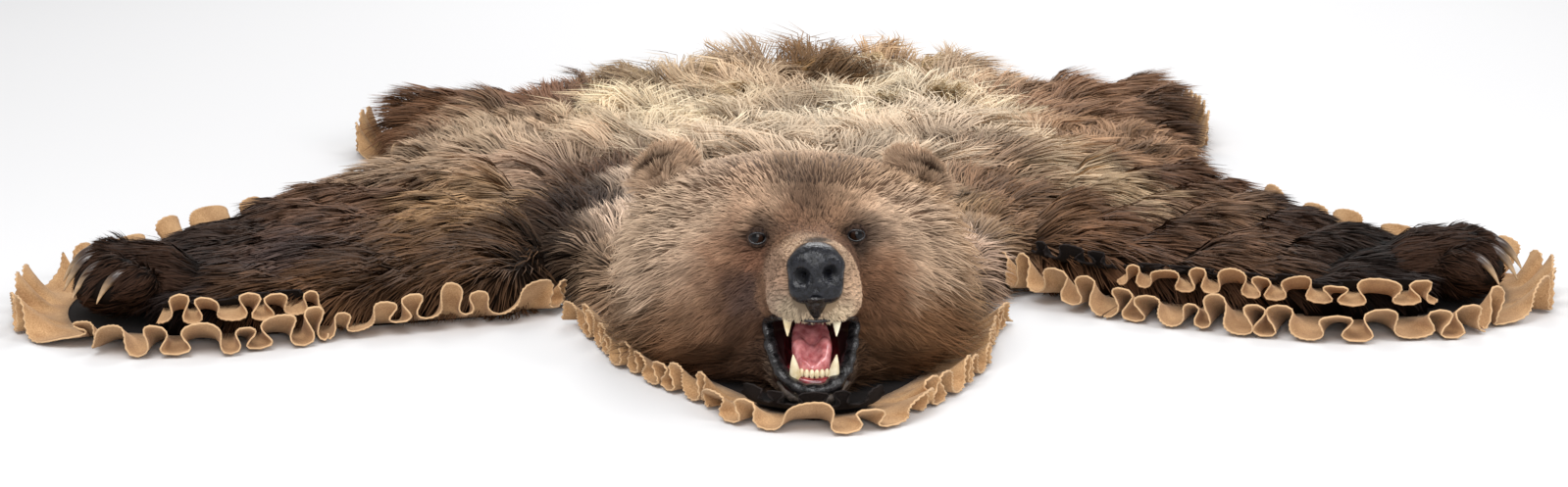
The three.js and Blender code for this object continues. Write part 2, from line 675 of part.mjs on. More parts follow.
function add(name, geometry, colour, roughness = 0.9) {
  const material = new THREE.MeshStandardMaterial({ color: COLOURS[colour], roughness, metalness: 0 });
  const mesh = new THREE.Mesh(geometry, material);
  mesh.name = name;
  rug.add(mesh);
  return geometry;
}

const nosePad = add("nose_pad", headLoft(NOSE_PAD, 14), "nose", 0.3);
const eyeBalls = EYES.map((eye) => add(eye.name, eyeGeometry(eye), "eye", 0.05));
const earShells = EARS.map((ear) => add(ear.name, earGeometry(ear), "ear"));
const tongue = add("tongue", headLoft(TONGUE, 14, TONGUE_GROOVE), "tongue", 0.25);
const incisors = add("incisors_lower", incisorGeometry(), "tooth", 0.3);
const canines = CANINES.map((tooth) => add(tooth.name, spikeGeometry(tooth, tooth.thick, 0), "tooth", 0.3));

const mouthParts = [nosePad, ...eyeBalls, ...earShells, tongue, incisors, ...canines];
const skull = toSolid(headLoft(SKULL, 20)).add(toSolid(headLoft(JAW, 20)));
const hollow = skull.subtract(toSolid(headLoft(MOUTH, 12)));
const head = add("head", toGeometry(cutFor(hollow, mouthParts)), "head");

const pawGeometries = PAWS.map((paw) => {
  const horns = paw.claws.map((claw, i) =>
    add(`claw_${paw.name}_${i + 1}`, spikeGeometry(claw, CLAW.thick, CLAW.hump), "claw", 0.35),
  );
  return add(`paw_${paw.name}`, toGeometry(cutFor(pawBody(paw), horns)), "paw", 0.8);
});

add("backing", backingGeometry(), "black");
add("hide", hideGeometry([head, ...earShells, ...pawGeometries]), "fur");
BORDERS.forEach((row, i) => add(row.name, gatheredGeometry(row, i + 1), ROWS[row.row].colour));

// The origin is on the floor, under the middle of the whole rug.
const box = new THREE.Box3().setFromObject(rug);
const middle = box.getCenter(new THREE.Vector3());
rug.position.set(-middle.x, -middle.y, -box.min.z);

export default rug;
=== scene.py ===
# %% [markdown]
# # A bearskin rug
# The rug is a spread hide with its fur on, sewn to a sheet of black felt, with a mounted head,
# two clawed front paws and a gathered border of tan felt. The solids give the true size and
# place of every piece. This lesson dresses them: each step makes one kind of piece as a surface
# worked out with numpy, gives it a material, and lets it ride on the rug's one body.

import math

import bpy
import numpy as np
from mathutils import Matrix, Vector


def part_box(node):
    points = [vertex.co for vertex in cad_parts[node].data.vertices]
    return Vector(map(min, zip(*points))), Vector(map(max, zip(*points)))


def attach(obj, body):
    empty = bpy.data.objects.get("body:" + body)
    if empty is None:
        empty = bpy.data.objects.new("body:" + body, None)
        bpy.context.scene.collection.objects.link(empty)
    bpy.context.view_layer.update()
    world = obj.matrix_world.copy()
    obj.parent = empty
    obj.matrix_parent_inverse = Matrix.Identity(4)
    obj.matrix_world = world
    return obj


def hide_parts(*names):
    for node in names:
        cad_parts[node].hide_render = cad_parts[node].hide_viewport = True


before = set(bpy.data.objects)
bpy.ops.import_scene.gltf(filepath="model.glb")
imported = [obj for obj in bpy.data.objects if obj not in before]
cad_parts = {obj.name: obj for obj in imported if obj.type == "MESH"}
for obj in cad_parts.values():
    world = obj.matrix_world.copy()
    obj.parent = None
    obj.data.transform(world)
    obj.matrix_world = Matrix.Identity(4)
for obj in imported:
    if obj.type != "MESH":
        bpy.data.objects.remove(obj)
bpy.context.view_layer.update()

# %% [markdown]
# Lengths here are millimetres, drawn from the point on the floor under the middle of the neck.
# The frame has its origin under the middle of the whole rug, so one eye, whose place is known in
# both, gives the shift between the two. Every mesh is moved by it when it is made, which keeps
# each object at the origin, unturned and unscaled.

# %% Units and shift
MM = 0.001
LEFT_EYE = (-31, -797, 191)
RIGHT_EYE = (84, -795, 194)
low_corner, high_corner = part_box("eye_left")
SHIFT = (np.array(low_corner) + np.array(high_corner)) / 2 - np.array(LEFT_EYE) * MM
print("shift in metres:", SHIFT.round(5))

# %% [markdown]
# The camera comes first, because the detail is judged through it. It stands about four and a
# half metres in front of the rug at the height of a table, looks along the rug and a little
# down, and its long lens keeps the paws from growing wider than the head. The lens follows from
# the angle that the 1599 by 497 picture covers.

# %% Camera
PICTURE_WIDE = 1599
FOCAL_PIXELS = 3300
CAMERA_AT = (0, -4465, 1034)
LOOK_DOWN = math.radians(13.07)

view = bpy.data.cameras.new("view")
view.sensor_width = 36
view.sensor_fit = "HORIZONTAL"
view.lens = view.sensor_width * FOCAL_PIXELS / PICTURE_WIDE
camera = bpy.data.objects.new("view", view)
camera.location = np.array(CAMERA_AT) * MM + SHIFT
camera.rotation_euler = (math.pi / 2 - LOOK_DOWN, 0, 0)
bpy.context.scene.collection.objects.link(camera)
bpy.context.scene.camera = camera
print("lens:", round(view.lens, 1), "mm")

# %% [markdown]
# The light is that of a plain studio: a white sweep of floor, a large soft light above and in
# front, a smaller one at the side, a low one at the camera that reaches under the brows, one from
# behind that rims the fur, and a pale sky that fills the shadows. Large lights keep the shadows
# between the locks soft.

# %% Light and floor
def soft_light(name, place, size, power):
    """A square area light at a place in metres, turned towards the middle of the rug."""
    lamp = bpy.data.lights.new(name, "AREA")
    lamp.size = size
    lamp.energy = power
    light = bpy.data.objects.new(name, lamp)
    aim = np.array((0.0, 0.0, 0.1)) - np.array(place)
    light.location = place
    flat_length = math.hypot(aim[0], aim[1])
    light.rotation_euler = (math.atan2(flat_length, -aim[2]), 0,
                            math.atan2(aim[1], aim[0]) - math.pi / 2)
    bpy.context.scene.collection.objects.link(light)


soft_light("key", (-0.9, -2.6, 3.2), 2.2, 100)
soft_light("fill", (2.6, -1.8, 2.4), 1.8, 50)
soft_light("front", (0.4, -4.6, 1.5), 2.0, 60)
soft_light("back", (0.4, 3.0, 2.8), 2.4, 74)

sky = bpy.data.worlds.new("sky")
sky.use_nodes = True
sky_light = sky.node_tree.nodes["Background"].inputs
sky_light["Color"].default_value = (1.0, 0.995, 0.985, 1)
sky_light["Strength"].default_value = 0.62
bpy.context.scene.world = sky
bpy.context.scene.view_settings.view_transform = "Standard"

FLOOR_HALF = 9.0
corners = np.array([(-1, -1, 0), (1, -1, 0), (1, 1, 0), (-1, 1, 0)]) * FLOOR_HALF
floor_mesh = bpy.data.meshes.new("floor")
floor_mesh.from_pydata(corners.tolist(), [], [(0, 1, 2, 3)])
floor = bpy.data.objects.new("floor", floor_mesh)
bpy.context.scene.collection.objects.link(floor)
paper = bpy.data.materials.new("floor_paper")
paper.use_nodes = True
paper_finish = paper.node_tree.nodes["Principled BSDF"].inputs
paper_finish["Base Color"].default_value = (0.7, 0.7, 0.71, 1)
paper_finish["Roughness"].default_value = 0.9
paper_finish["Specular IOR Level"].default_value = 0.1
floor_mesh.materials.append(paper)

# %% [markdown]
# A surface is a grid: a function of two parameters gives rows and columns of points, and four
# neighbours make a face. A grid may close on itself round its columns, as a ring does, and may
# be capped at its ends. The helpers below turn such arrays into meshes in one go, with
# foreach_set, which is many times quicker than adding faces one by one.

# %% Mesh helpers
def grid_quads(rows, columns, closed=False):
    """Faces of a grid of points numbered row by row: point, next in the row, and the two above.
    With closed, the last column joins the first."""
    across = columns if closed else columns - 1
    row, column = np.meshgrid(np.arange(rows - 1), np.arange(across), indexing="ij")
    beside = (column + 1) % columns
    here, there = row * columns, (row + 1) * columns
    return np.stack([here + column, here + beside, there + beside, there + column], -1).reshape(-1, 4)


def put_mesh(name, points, quads=(), triangles=()):
    """A smooth mesh object from points in millimetres and arrays of corner numbers."""
    quads = np.asarray(quads, np.int32).reshape(-1, 4)
    triangles = np.asarray(triangles, np.int32).reshape(-1, 3)
    corner_numbers = np.concatenate([quads.ravel(), triangles.ravel()]).astype(np.int32)
    sizes = np.concatenate([np.full(len(quads), 4), np.full(len(triangles), 3)])
    starts = np.concatenate([[0], np.cumsum(sizes)[:-1]]).astype(np.int32)
    mesh = bpy.data.meshes.new(name)
    mesh.vertices.add(len(points))
    mesh.vertices.foreach_set("co", (points * MM + SHIFT).astype(np.float32).ravel())
    mesh.loops.add(len(corner_numbers))
    mesh.loops.foreach_set("vertex_index", corner_numbers)
    mesh.polygons.add(len(sizes))
    mesh.polygons.foreach_set("loop_start", starts)
    mesh.polygons.foreach_set("use_smooth", np.full(len(sizes), True))
    mesh.update(calc_edges=True)
    piece = bpy.data.objects.new(name, mesh)
    bpy.context.scene.collection.objects.link(piece)
    return piece


def capped_rings(rings):
    """Points and faces of a closed body from rings of points, an array of rings by places by 3,
    with a fan of triangles over each end. The rings run so that their faces look out."""
    count, around = rings.shape[:2]
    ends = np.stack([rings[0].mean(0), rings[-1].mean(0)])
    points = np.concatenate([rings.reshape(-1, 3), ends])
    k = np.arange(around)
    after = (k + 1) % around
    last = (count - 1) * around
    near = np.stack([np.full(around, count * around), after, k], -1)
    far = np.stack([np.full(around, count * around + 1), last + k, last + after], -1)
    quads = grid_quads(count, around, closed=True)
    middle = points.mean(0)
    corner = points[np.concatenate([near, far])] - middle
    volume = np.einsum("ij,ij->i", corner[:, 0], np.cross(corner[:, 1], corner[:, 2])).sum()
    square = points[quads] - middle
    volume += np.einsum("ij,ij->i", square[:, 0], np.cross(square[:, 1], square[:, 2])).sum()
    volume += np.einsum("ij,ij->i", square[:, 0], np.cross(square[:, 2], square[:, 3])).sum()
    triangles = np.concatenate([near, far])
    if volume < 0:
        quads, triangles = quads[:, ::-1], triangles[:, ::-1]
    return points, quads, triangles


def fit_out(piece, material, slot, *nodes):
    """Gives a piece its material, and lets it ride on the rug and stand for solids. Its slot is not used."""
    piece.data.materials.append(material)
    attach(piece, "root")
    if nodes:
        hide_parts(*nodes)
    return piece


def paint(piece, values):
    """Writes a colour for each point of a piece, or one for all, into the attribute tone, which
    its material reads."""
    colours = np.ones((len(piece.data.vertices), 4), np.float32)
    colours[:, :3] = values
    tone = piece.data.color_attributes.new("tone", "FLOAT_COLOR", "POINT")
    tone.data.foreach_set("color", colours.ravel())


def mark(piece, name, values):
    """Writes one number for each point of a piece into a named attribute."""
    piece.data.attributes.new(name, "FLOAT", "POINT").data.foreach_set("value", values)


print("a grid of 3 by 4 points has", len(grid_quads(3, 4)), "faces, and", len(grid_quads(3, 4, True)),
      "where it closes")

# %% [markdown]
# Nothing on a hide repeats evenly, and two small tools bring the unevenness: drift is a smooth
# wander over space, a mean of sine waves in random directions, and chance gives each
# whole-numbered cell its own fixed number. A third tool, catmull_rom, reads a smooth curve
# between the rows of a table. All of them give the same result on every run.

# %% Unevenness and tables
def chance(cells, seed):
    """A number from 0 to 1 for each row of whole numbers: the digits behind the point of a
    large sine."""
    turns = np.array([12.9898, 78.233, 37.719])[: cells.shape[-1]]
    wave = np.sin(cells @ turns + seed * 4.1414) * 43758.5453
    return wave - np.floor(wave)


def drift(places, size, seed):
    """A wander between about -1 and 1: the mean of seven sine waves about size long, each in its
    own random direction."""
    random = np.random.default_rng(seed)
    ways = random.normal(size=(7, places.shape[-1]))
    ways /= np.linalg.norm(ways, axis=1, keepdims=True)
    lengths = size * random.uniform(0.7, 1.6, 7)
    starts = random.uniform(0, 2 * math.pi, 7)
    waves = np.sin(places @ (ways / lengths[:, None]).T * 2 * math.pi + starts)
    return waves.mean(-1) * 1.9


def catmull_rom(rows, t, even=False):
    """Points at t, counted in rows, on a Catmull-Rom curve through the rows. Each stretch is the
    cubic with the rows' values at its ends and slopes set by the neighbours, with knots spaced by
    the root of the distance, or evenly."""
    rows = np.asarray(rows, float)
    ends = np.concatenate([[2 * rows[0] - rows[1]], rows, [2 * rows[-1] - rows[-2]]])
    k = np.clip(np.floor(t).astype(int), 0, len(rows) - 2)
    w = (t - k)[..., None]
    p0, p1, p2, p3 = (ends[k + i] for i in range(4))
    steps = (np.linalg.norm(q - p, axis=-1, keepdims=True) for p, q in ((p0, p1), (p1, p2), (p2, p3)))
    d0, d1, d2 = (np.ones_like(step) if even else np.maximum(step, 1e-6) ** 0.5 for step in steps)
    m1 = ((p1 - p0) / d0 - (p2 - p0) / (d0 + d1) + (p2 - p1) / d1) * d1
    m2 = ((p2 - p1) / d1 - (p3 - p1) / (d1 + d2) + (p3 - p2) / d2) * d1
    return p1 + m1 * w + (3 * (p2 - p1) - 2 * m1 - m2) * w**2 + (2 * (p1 - p2) + m1 + m2) * w**3


def unit(vectors):
    """Each vector over its own length."""
    return vectors / np.maximum(np.linalg.norm(vectors, axis=-1, keepdims=True), 1e-9)


def linear(colour):
    """A colour from 0 to 255 a channel, as it looks on a screen, as the light that it reflects."""
    share = np.asarray(colour, float) / 255
    return np.where(share <= 0.04045, share / 12.92, ((share + 0.055) / 1.055) ** 2.4)


def ramp(values, low, high):
    """0 below low, 1 above high and a smooth step between."""
    share = np.clip((values - low) / (high - low), 0, 1)
    return share * share * (3 - 2 * share)


print("middle of a ramp:", ramp(0.5, 0, 1), "and its first quarter:", ramp(0.25, 0, 1))

# %% [markdown]
# The plan of the rug is five limbs and a throat. Each limb is a row of ribs from its root to its
# end, with a point on its front or left edge, a point on its rear or right edge and the height
# of its fur. The solids use the same table, so the dressed rug keeps their outline.

# %% Plan of the rug
FELT = 2
BED = 4.6  # underside of the hide
LEDGE = 16  # how far the skin sits back under its own fur
LEDGE_Z = 44.3  # height at which the fur starts to overhang
TUFT = 14  # height of the fur's lumps

LIMBS = {  # ribs: point on edge a, point on edge b, height
    "torso": dict(bulge=55, ribs=[
        ((-184, -535), (204, -535), 90), ((-226, -430), (238, -430), 102),
        ((-310, -240), (300, -240), 114), ((-420, -60), (440, -60), 114),
        ((-560, 160), (590, 150), 110), ((-568, 380), (592, 380), 106),
        ((-560, 560), (605, 560), 104), ((-520, 700), (560, 720), 104),
        ((-350, 808), (400, 830), 104), ((-130, 870), (270, 890), 108)]),
    "foreLeft": dict(bulge=45, bare_from=6, ribs=[
        ((-330, -180), (-470, 330), 110), ((-322, -330), (-570, 250), 106),
        ((-350, -418), (-635, 175), 100), ((-460, -455), (-705, 70), 94),
        ((-590, -497), (-775, -60), 88), ((-705, -535), (-835, -165), 82),
        ((-775, -545), (-870, -225), 76), ((-865, -530), (-918, -300), 70)]),
    "foreRight": dict(bulge=36, bare_from=6, ribs=[
        ((330, -190), (470, 300), 110), ((345, -270), (580, 225), 106),
        ((400, -325), (650, 120), 100), ((505, -375), (725, -20), 94),
        ((620, -418), (800, -115), 88), ((735, -458), (868, -165), 82),
        ((815, -450), (915, -195), 78), ((895, -425), (950, -245), 70)]),
    "hindLeft": dict(bulge=10, bare_from=2, ribs=[
        ((-440, 770), (-440, 470), 100), ((-560, 735), (-560, 555), 98),
        ((-606, 716), (-610, 590), 86), ((-630, 710), (-634, 594), 60)]),
    "hindRight": dict(bulge=10, bare_from=2, ribs=[
        ((430, 840), (430, 520), 100), ((560, 888), (570, 600), 98),
        ((608, 908), (616, 650), 84), ((640, 926), (646, 640), 60)]),
    "throat": dict(bulge=62, bare_from=0, ribs=[
        ((-240, -440), (250, -440), 0), ((-196, -520), (218, -520), 0),
        ((-172, -600), (205, -600), 0), ((-140, -680), (188, -690), 0),
        ((-95, -760), (155, -775), 0), ((-45, -840), (110, -850), 0)]),
}


def edge(limb, side, t):
    """Points on the front edge a or rear edge b of a limb at t ribs from its root."""
    return catmull_rom([rib[0 if side == "a" else 1] for rib in LIMBS[limb]["ribs"]], t)


def cap(limb, share, back=0):
    """Points on the rounded end of a limb, from its edge a to its edge b: the middle of the last
    rib, plus half the rib times the cosine, plus the bulge times the sine."""
    ribs = LIMBS[limb]["ribs"]
    end_a, end_b = np.array(ribs[-1][0], float), np.array(ribs[-1][1], float)
    middle = (end_a + end_b) / 2
    before = (np.array(ribs[-2][0]) + np.array(ribs[-2][1])) / 2
    beyond = unit(middle - before) * (LIMBS[limb]["bulge"] - back)
    angle = math.pi * np.asarray(share)[:, None]
    return middle + (end_a - middle) * np.cos(angle) + beyond * np.sin(angle)


def tuft(x, y):
    """Lumps of the fur over the floor plan, between -1 and 1, from two crossing waves."""
    crossing = np.sin(x / 31 + 1.9 * np.sin(y / 83)) * np.sin(y / 43 + x / 190)
    return 0.6 * crossing + 0.4 * np.sin(x / 17 - y / 26)


print("limbs:", ", ".join(LIMBS))

# %% [markdown]
# The hide could be one loft for each limb, but lofts that cross each other leave seams where
# combed fur would part. A height map avoids that: each limb drops its domed sections onto one
# square grid over the floor, and the highest one counts. The grid then tells any place on the
# rug how high it is, how far it is from the rim and which way is out, and all the fur reads it.

# %% Height map of the hide
CELL = 8  # side of a cell of the map
MAP_X = np.arange(-980, 981, CELL)
MAP_Y = np.arange(-620, 981, CELL)


def dome_points(limb):
    """Points of a limb's fur: ribs along t, and across each rib a dome that rises to its height
    as the power 0.3 of a parabola, with the tufts on it."""
    rows = LIMBS[limb]["ribs"]
    last = LIMBS[limb].get("bare_from", len(rows) - 1)
    t = np.linspace(0, last, last * 45 + 1)
    a, b = edge(limb, "a", t), edge(limb, "b", t)
    high = np.interp(t, np.arange(len(rows)), [rib[2] for rib in rows])
    if last == len(rows) - 1:
        share = np.linspace(0, 0.44, 36)
        a = np.concatenate([a, cap(limb, share, LEDGE)])
        b = np.concatenate([b, cap(limb, 1 - share, LEDGE)])
        high = np.concatenate([high, LEDGE_Z + (rows[-1][2] - LEDGE_Z) * np.cos(math.pi * share * 0.8)])
    u = (0.5 - 0.5 * np.cos(np.linspace(0, math.pi, 260)))[None, :, None]
    plan = a[:, None] + (b - a)[:, None] * u
    fullness = (4 * u * (1 - u))[..., 0] ** 0.3
    z = LEDGE_Z + (high[:, None] - LEDGE_Z) * fullness + TUFT * tuft(plan[..., 0], plan[..., 1]) * fullness
    return np.concatenate([plan, z[..., None]], -1).reshape(-1, 3)


def smoothed(values, times):
    """Each cell as the mean of itself and its neighbours, several times over."""
    for _ in range(times):
        padded = np.pad(values, 1, mode="edge")
        values = (padded[1:-1, 1:-1] * 2 + padded[:-2, 1:-1] + padded[2:, 1:-1] + padded[1:-1, :-2]
                  + padded[1:-1, 2:]) / 6
    return values


fur_top = np.zeros((len(MAP_Y), len(MAP_X)))
for limb in LIMBS:
    if LIMBS[limb].get("bare_from") != 0:
        points = dome_points(limb)
        column = np.rint((points[:, 0] - MAP_X[0]) / CELL).astype(int)
        row = np.rint((points[:, 1] - MAP_Y[0]) / CELL).astype(int)
        np.maximum.at(fur_top, (row, column), points[:, 2])
on_hide = fur_top > 0
fur_top = np.where(on_hide, fur_top, smoothed(fur_top, 6))
fur_top = smoothed(fur_top, 2)
insideness = smoothed(on_hide.astype(float), 26)
slope_y, slope_x = np.gradient(insideness, CELL)
print("hide:", round(on_hide.sum() * (CELL * MM) ** 2, 2), "square metres")


def read_map(values, places):
    """The value of a map at places, weighted between the four cells round each."""
    x = np.clip((places[:, 0] - MAP_X[0]) / CELL, 0, len(MAP_X) - 1.001)
    y = np.clip((places[:, 1] - MAP_Y[0]) / CELL, 0, len(MAP_Y) - 1.001)
    i, j = y.astype(int), x.astype(int)
    v, u = y - i, x - j
    low = values[i, j] * (1 - u) + values[i, j + 1] * u
    high = values[i + 1, j] * (1 - u) + values[i + 1, j + 1] * u
    return low * (1 - v) + high * v


# %% [markdown]
# A bear's coat has no one colour. Each hair is dark at its root and light at its tip, and both
# change over the body: nearly black on the legs, chocolate on the haunches, straw and cream on
# the back and hump. The coat is a short table of patches, each with a place, a spread, a root
# colour and a tip colour, and a place takes the mean of the patches near it.

# %% Colours of the coat
COAT = [  # x, y, spread, root, tip
    # haunch left
    (-580, 570, 75, (56, 37, 27), (122, 87, 63)),
    (-520, 650, 75, (60, 41, 29), (128, 92, 67)),
    (-450, 720, 70, (54, 36, 26), (118, 85, 62)),
    (-370, 700, 60, (68, 44, 33), (135, 99, 77)),
    (-300, 670, 60, (68, 44, 34), (130, 93, 72)),
    # rump left
    (-260, 750, 45, (120, 90, 63), (215, 183, 143)),
    (-190, 670, 60, (110, 84, 63), (205, 178, 143)),
    (-90, 750, 60, (115, 83, 60), (208, 180, 148)),
    # cowlick
    (0, 820, 40, (40, 22, 11), (150, 112, 74)),
    (55, 750, 40, (44, 26, 14), (150, 114, 78)),
    (110, 800, 40, (105, 76, 54), (195, 158, 118)),
    # rump right
    (190, 990, 50, (130, 96, 66), (216, 184, 146)),
    (260, 750, 50, (112, 84, 62), (206, 176, 144)),
    (330, 770, 50, (116, 88, 66), (210, 182, 150)),
    (390, 700, 60, (90, 62, 46), (172, 132, 102)),
    # haunch right
    (470, 620, 70, (72, 50, 37), (166, 127, 98)),
    (550, 600, 50, (42, 28, 20), (98, 70, 52)),
    (590, 570, 40, (18, 13, 11), (43, 31, 27)),
    (400, 350, 50, (78, 54, 38), (176, 138, 106)),
    (460, 260, 60, (86, 62, 44), (190, 150, 116)),
    (520, 100, 60, (50, 32, 23), (106, 74, 54)),
    # back
    (-140, 370, 70, (135, 106, 78), (246, 228, 196)),
    (-60, 480, 60, (120, 90, 66), (225, 203, 170)),
    (-230, 390, 60, (128, 100, 74), (240, 220, 184)),
    (20, 480, 50, (104, 78, 60), (206, 178, 148)),
    (70, 350, 55, (140, 112, 86), (250, 236, 210)),
    (140, 480, 60, (125, 98, 70), (244, 226, 194)),
    (190, 670, 45, (140, 112, 82), (250, 234, 206)),
    (210, 410, 45, (100, 82, 74), (222, 202, 180)),
    (270, 390, 60, (130, 102, 74), (242, 222, 190)),
    (320, 260, 55, (130, 100, 74), (232, 210, 178)),
    # band
    (380, 100, 40, (125, 96, 70), (226, 200, 166)),
    (440, -30, 36, (110, 82, 60), (212, 184, 148)),
    (530, -130, 40, (66, 48, 37), (138, 106, 81)),
    # flank left
    (-370, 460, 55, (92, 68, 52), (194, 162, 132)),
    (-430, 390, 55, (106, 82, 64), (214, 188, 158)),
    (-500, 220, 60, (92, 68, 54), (194, 166, 138)),
    (-280, 240, 55, (115, 86, 68), (220, 193, 163)),
    # shoulder left
    (-350, 100, 50, (100, 72, 60), (206, 174, 148)),
    (-400, -20, 50, (85, 60, 42), (180, 146, 110)),
    (-550, -20, 60, (55, 38, 29), (118, 88, 68)),
    (-440, -130, 50, (80, 57, 38), (172, 136, 98)),
    # valley left, painted shade: near-black colours for the shadow in the fold between neck and shoulder
    (-270, 60, 38, (40, 26, 18), (90, 62, 44)),
    (-270, -140, 36, (23, 15, 11), (56, 38, 28)),
    (-280, -320, 32, (20, 13, 9), (50, 34, 25)),
    # leg left
    (-740, -240, 60, (27, 20, 16), (56, 43, 37)),
    (-680, -230, 55, (38, 26, 20), (83, 60, 47)),
    (-620, -300, 45, (36, 28, 25), (83, 69, 67)),
    (-570, -130, 60, (54, 37, 28), (113, 84, 66)),
    (-480, -240, 45, (56, 39, 27), (124, 92, 66)),
    (-520, -330, 50, (32, 22, 17), (68, 49, 38)),
    (-420, -310, 50, (46, 32, 22), (104, 76, 54)),
    (-450, -490, 45, (42, 28, 19), (96, 68, 47)),
    (-530, -500, 50, (43, 28, 19), (101, 71, 47)),
    (-610, -510, 50, (40, 26, 19), (90, 64, 45)),
    (-360, -520, 45, (32, 21, 14), (74, 51, 35)),
    # paw left
    (-760, -360, 60, (18, 13, 11), (41, 31, 28)),
    (-820, -420, 60, (14, 9, 9), (34, 26, 24)),
    # neck left
    (-270, -470, 50, (46, 32, 22), (108, 80, 57)),
    (-210, -660, 45, (48, 34, 23), (114, 84, 60)),
    # neck right
    (250, 120, 45, (85, 62, 46), (184, 148, 118)),
    (280, -50, 45, (64, 45, 32), (138, 104, 78)),
    (260, 280, 40, (120, 92, 72), (232, 206, 182)),
    (320, -140, 45, (74, 53, 38), (158, 124, 96)),
    (210, -190, 40, (68, 50, 33), (144, 114, 82)),
    (200, -530, 45, (60, 44, 28), (132, 104, 70)),
    # leg right
    (370, -170, 50, (56, 37, 25), (115, 81, 57)),
    (330, -500, 50, (43, 29, 20), (94, 66, 47)),
    (410, -390, 50, (50, 33, 24), (108, 77, 55)),
    (490, -290, 50, (47, 32, 25), (101, 74, 57)),
    (570, -50, 36, (74, 54, 41), (152, 120, 94)),
    (570, -290, 50, (54, 37, 28), (115, 86, 66)),
    (600, -430, 50, (45, 31, 22), (99, 71, 52)),
    (650, -170, 50, (36, 25, 19), (79, 56, 43)),
    (730, -90, 55, (25, 18, 15), (59, 43, 34)),
    (660, -390, 50, (22, 15, 13), (49, 36, 30)),
    (760, -280, 60, (18, 13, 11), (43, 33, 28)),
    # paw right
    (800, -390, 60, (14, 9, 9), (38, 28, 24)),
    # head end, under the ears
    (-170, -430, 60, (85, 62, 46), (190, 158, 128)),
    (0, -420, 90, (105, 78, 68), (215, 186, 166)),
    (150, -420, 60, (100, 74, 62), (206, 176, 154)),
    (-120, -250, 80, (115, 86, 68), (226, 200, 176)),
    (90, -200, 80, (120, 90, 70), (228, 204, 178)),
    (0, 0, 90, (120, 90, 68), (230, 206, 178)),
    (-60, 220, 80, (125, 96, 72), (234, 212, 184)),
    (150, 180, 80, (125, 96, 72), (234, 212, 184)),
]
SQUASH = np.array([1.0, 0.55])  # the patches of the back run on in y, as seen from the front


def blended(places, table):
    """Root and tip colours at places: the mean of a table's patches, each weighted by a bell
    curve of its distance over its spread. Rows are place, spread, root and tip."""
    size = len(table[0]) - 3
    scale = SQUASH if size == 2 else 1
    where = np.array([row[:size] for row in table], float)
    spread = np.array([row[size] for row in table], float)
    root = linear([row[size + 1] for row in table])
    tip = linear([row[size + 2] for row in table])
    away = np.linalg.norm((places[:, None, :size] - where[None]) * scale, axis=-1) / spread
    weight = np.exp(-(away**2)) + 1e-3 * np.exp(-away)
    weight /= weight.sum(1, keepdims=True)
    return weight @ root, weight @ tip


print("patches of the coat:", len(COAT))

# %% [markdown]
# Fur could be made with Blender's hair curves, but a part that others reuse needs plain meshes.
# Each strand is therefore a narrow ribbon that tapers to its tip, of seven points where the fur
# is long and five where it is short, and thousands of them are joined into one mesh for each
# region. The strands follow a combing direction, lift off the skin and droop, and neighbours
# lean together into locks, which is what makes fur read as fur from a few metres away. A normal
# between the ribbon's own and the skin's keeps the light soft on such thin faces.

# %% Strands
# Stations along a strand, and its width at all of them but the tip.
LONG = ((0, 0.34, 0.68, 1.0), (0.8, 1.0, 0.75))
SHORT = ((0, 0.55, 1.0), (0.9, 1.0))
LOWEST = 3  # height above the floor that no strand goes below


def turned(heading, side, angle):
    """A heading turned towards its side: heading times the cosine plus side times the sine."""
    return heading * np.cos(angle)[:, None] + side * np.sin(angle)[:, None]


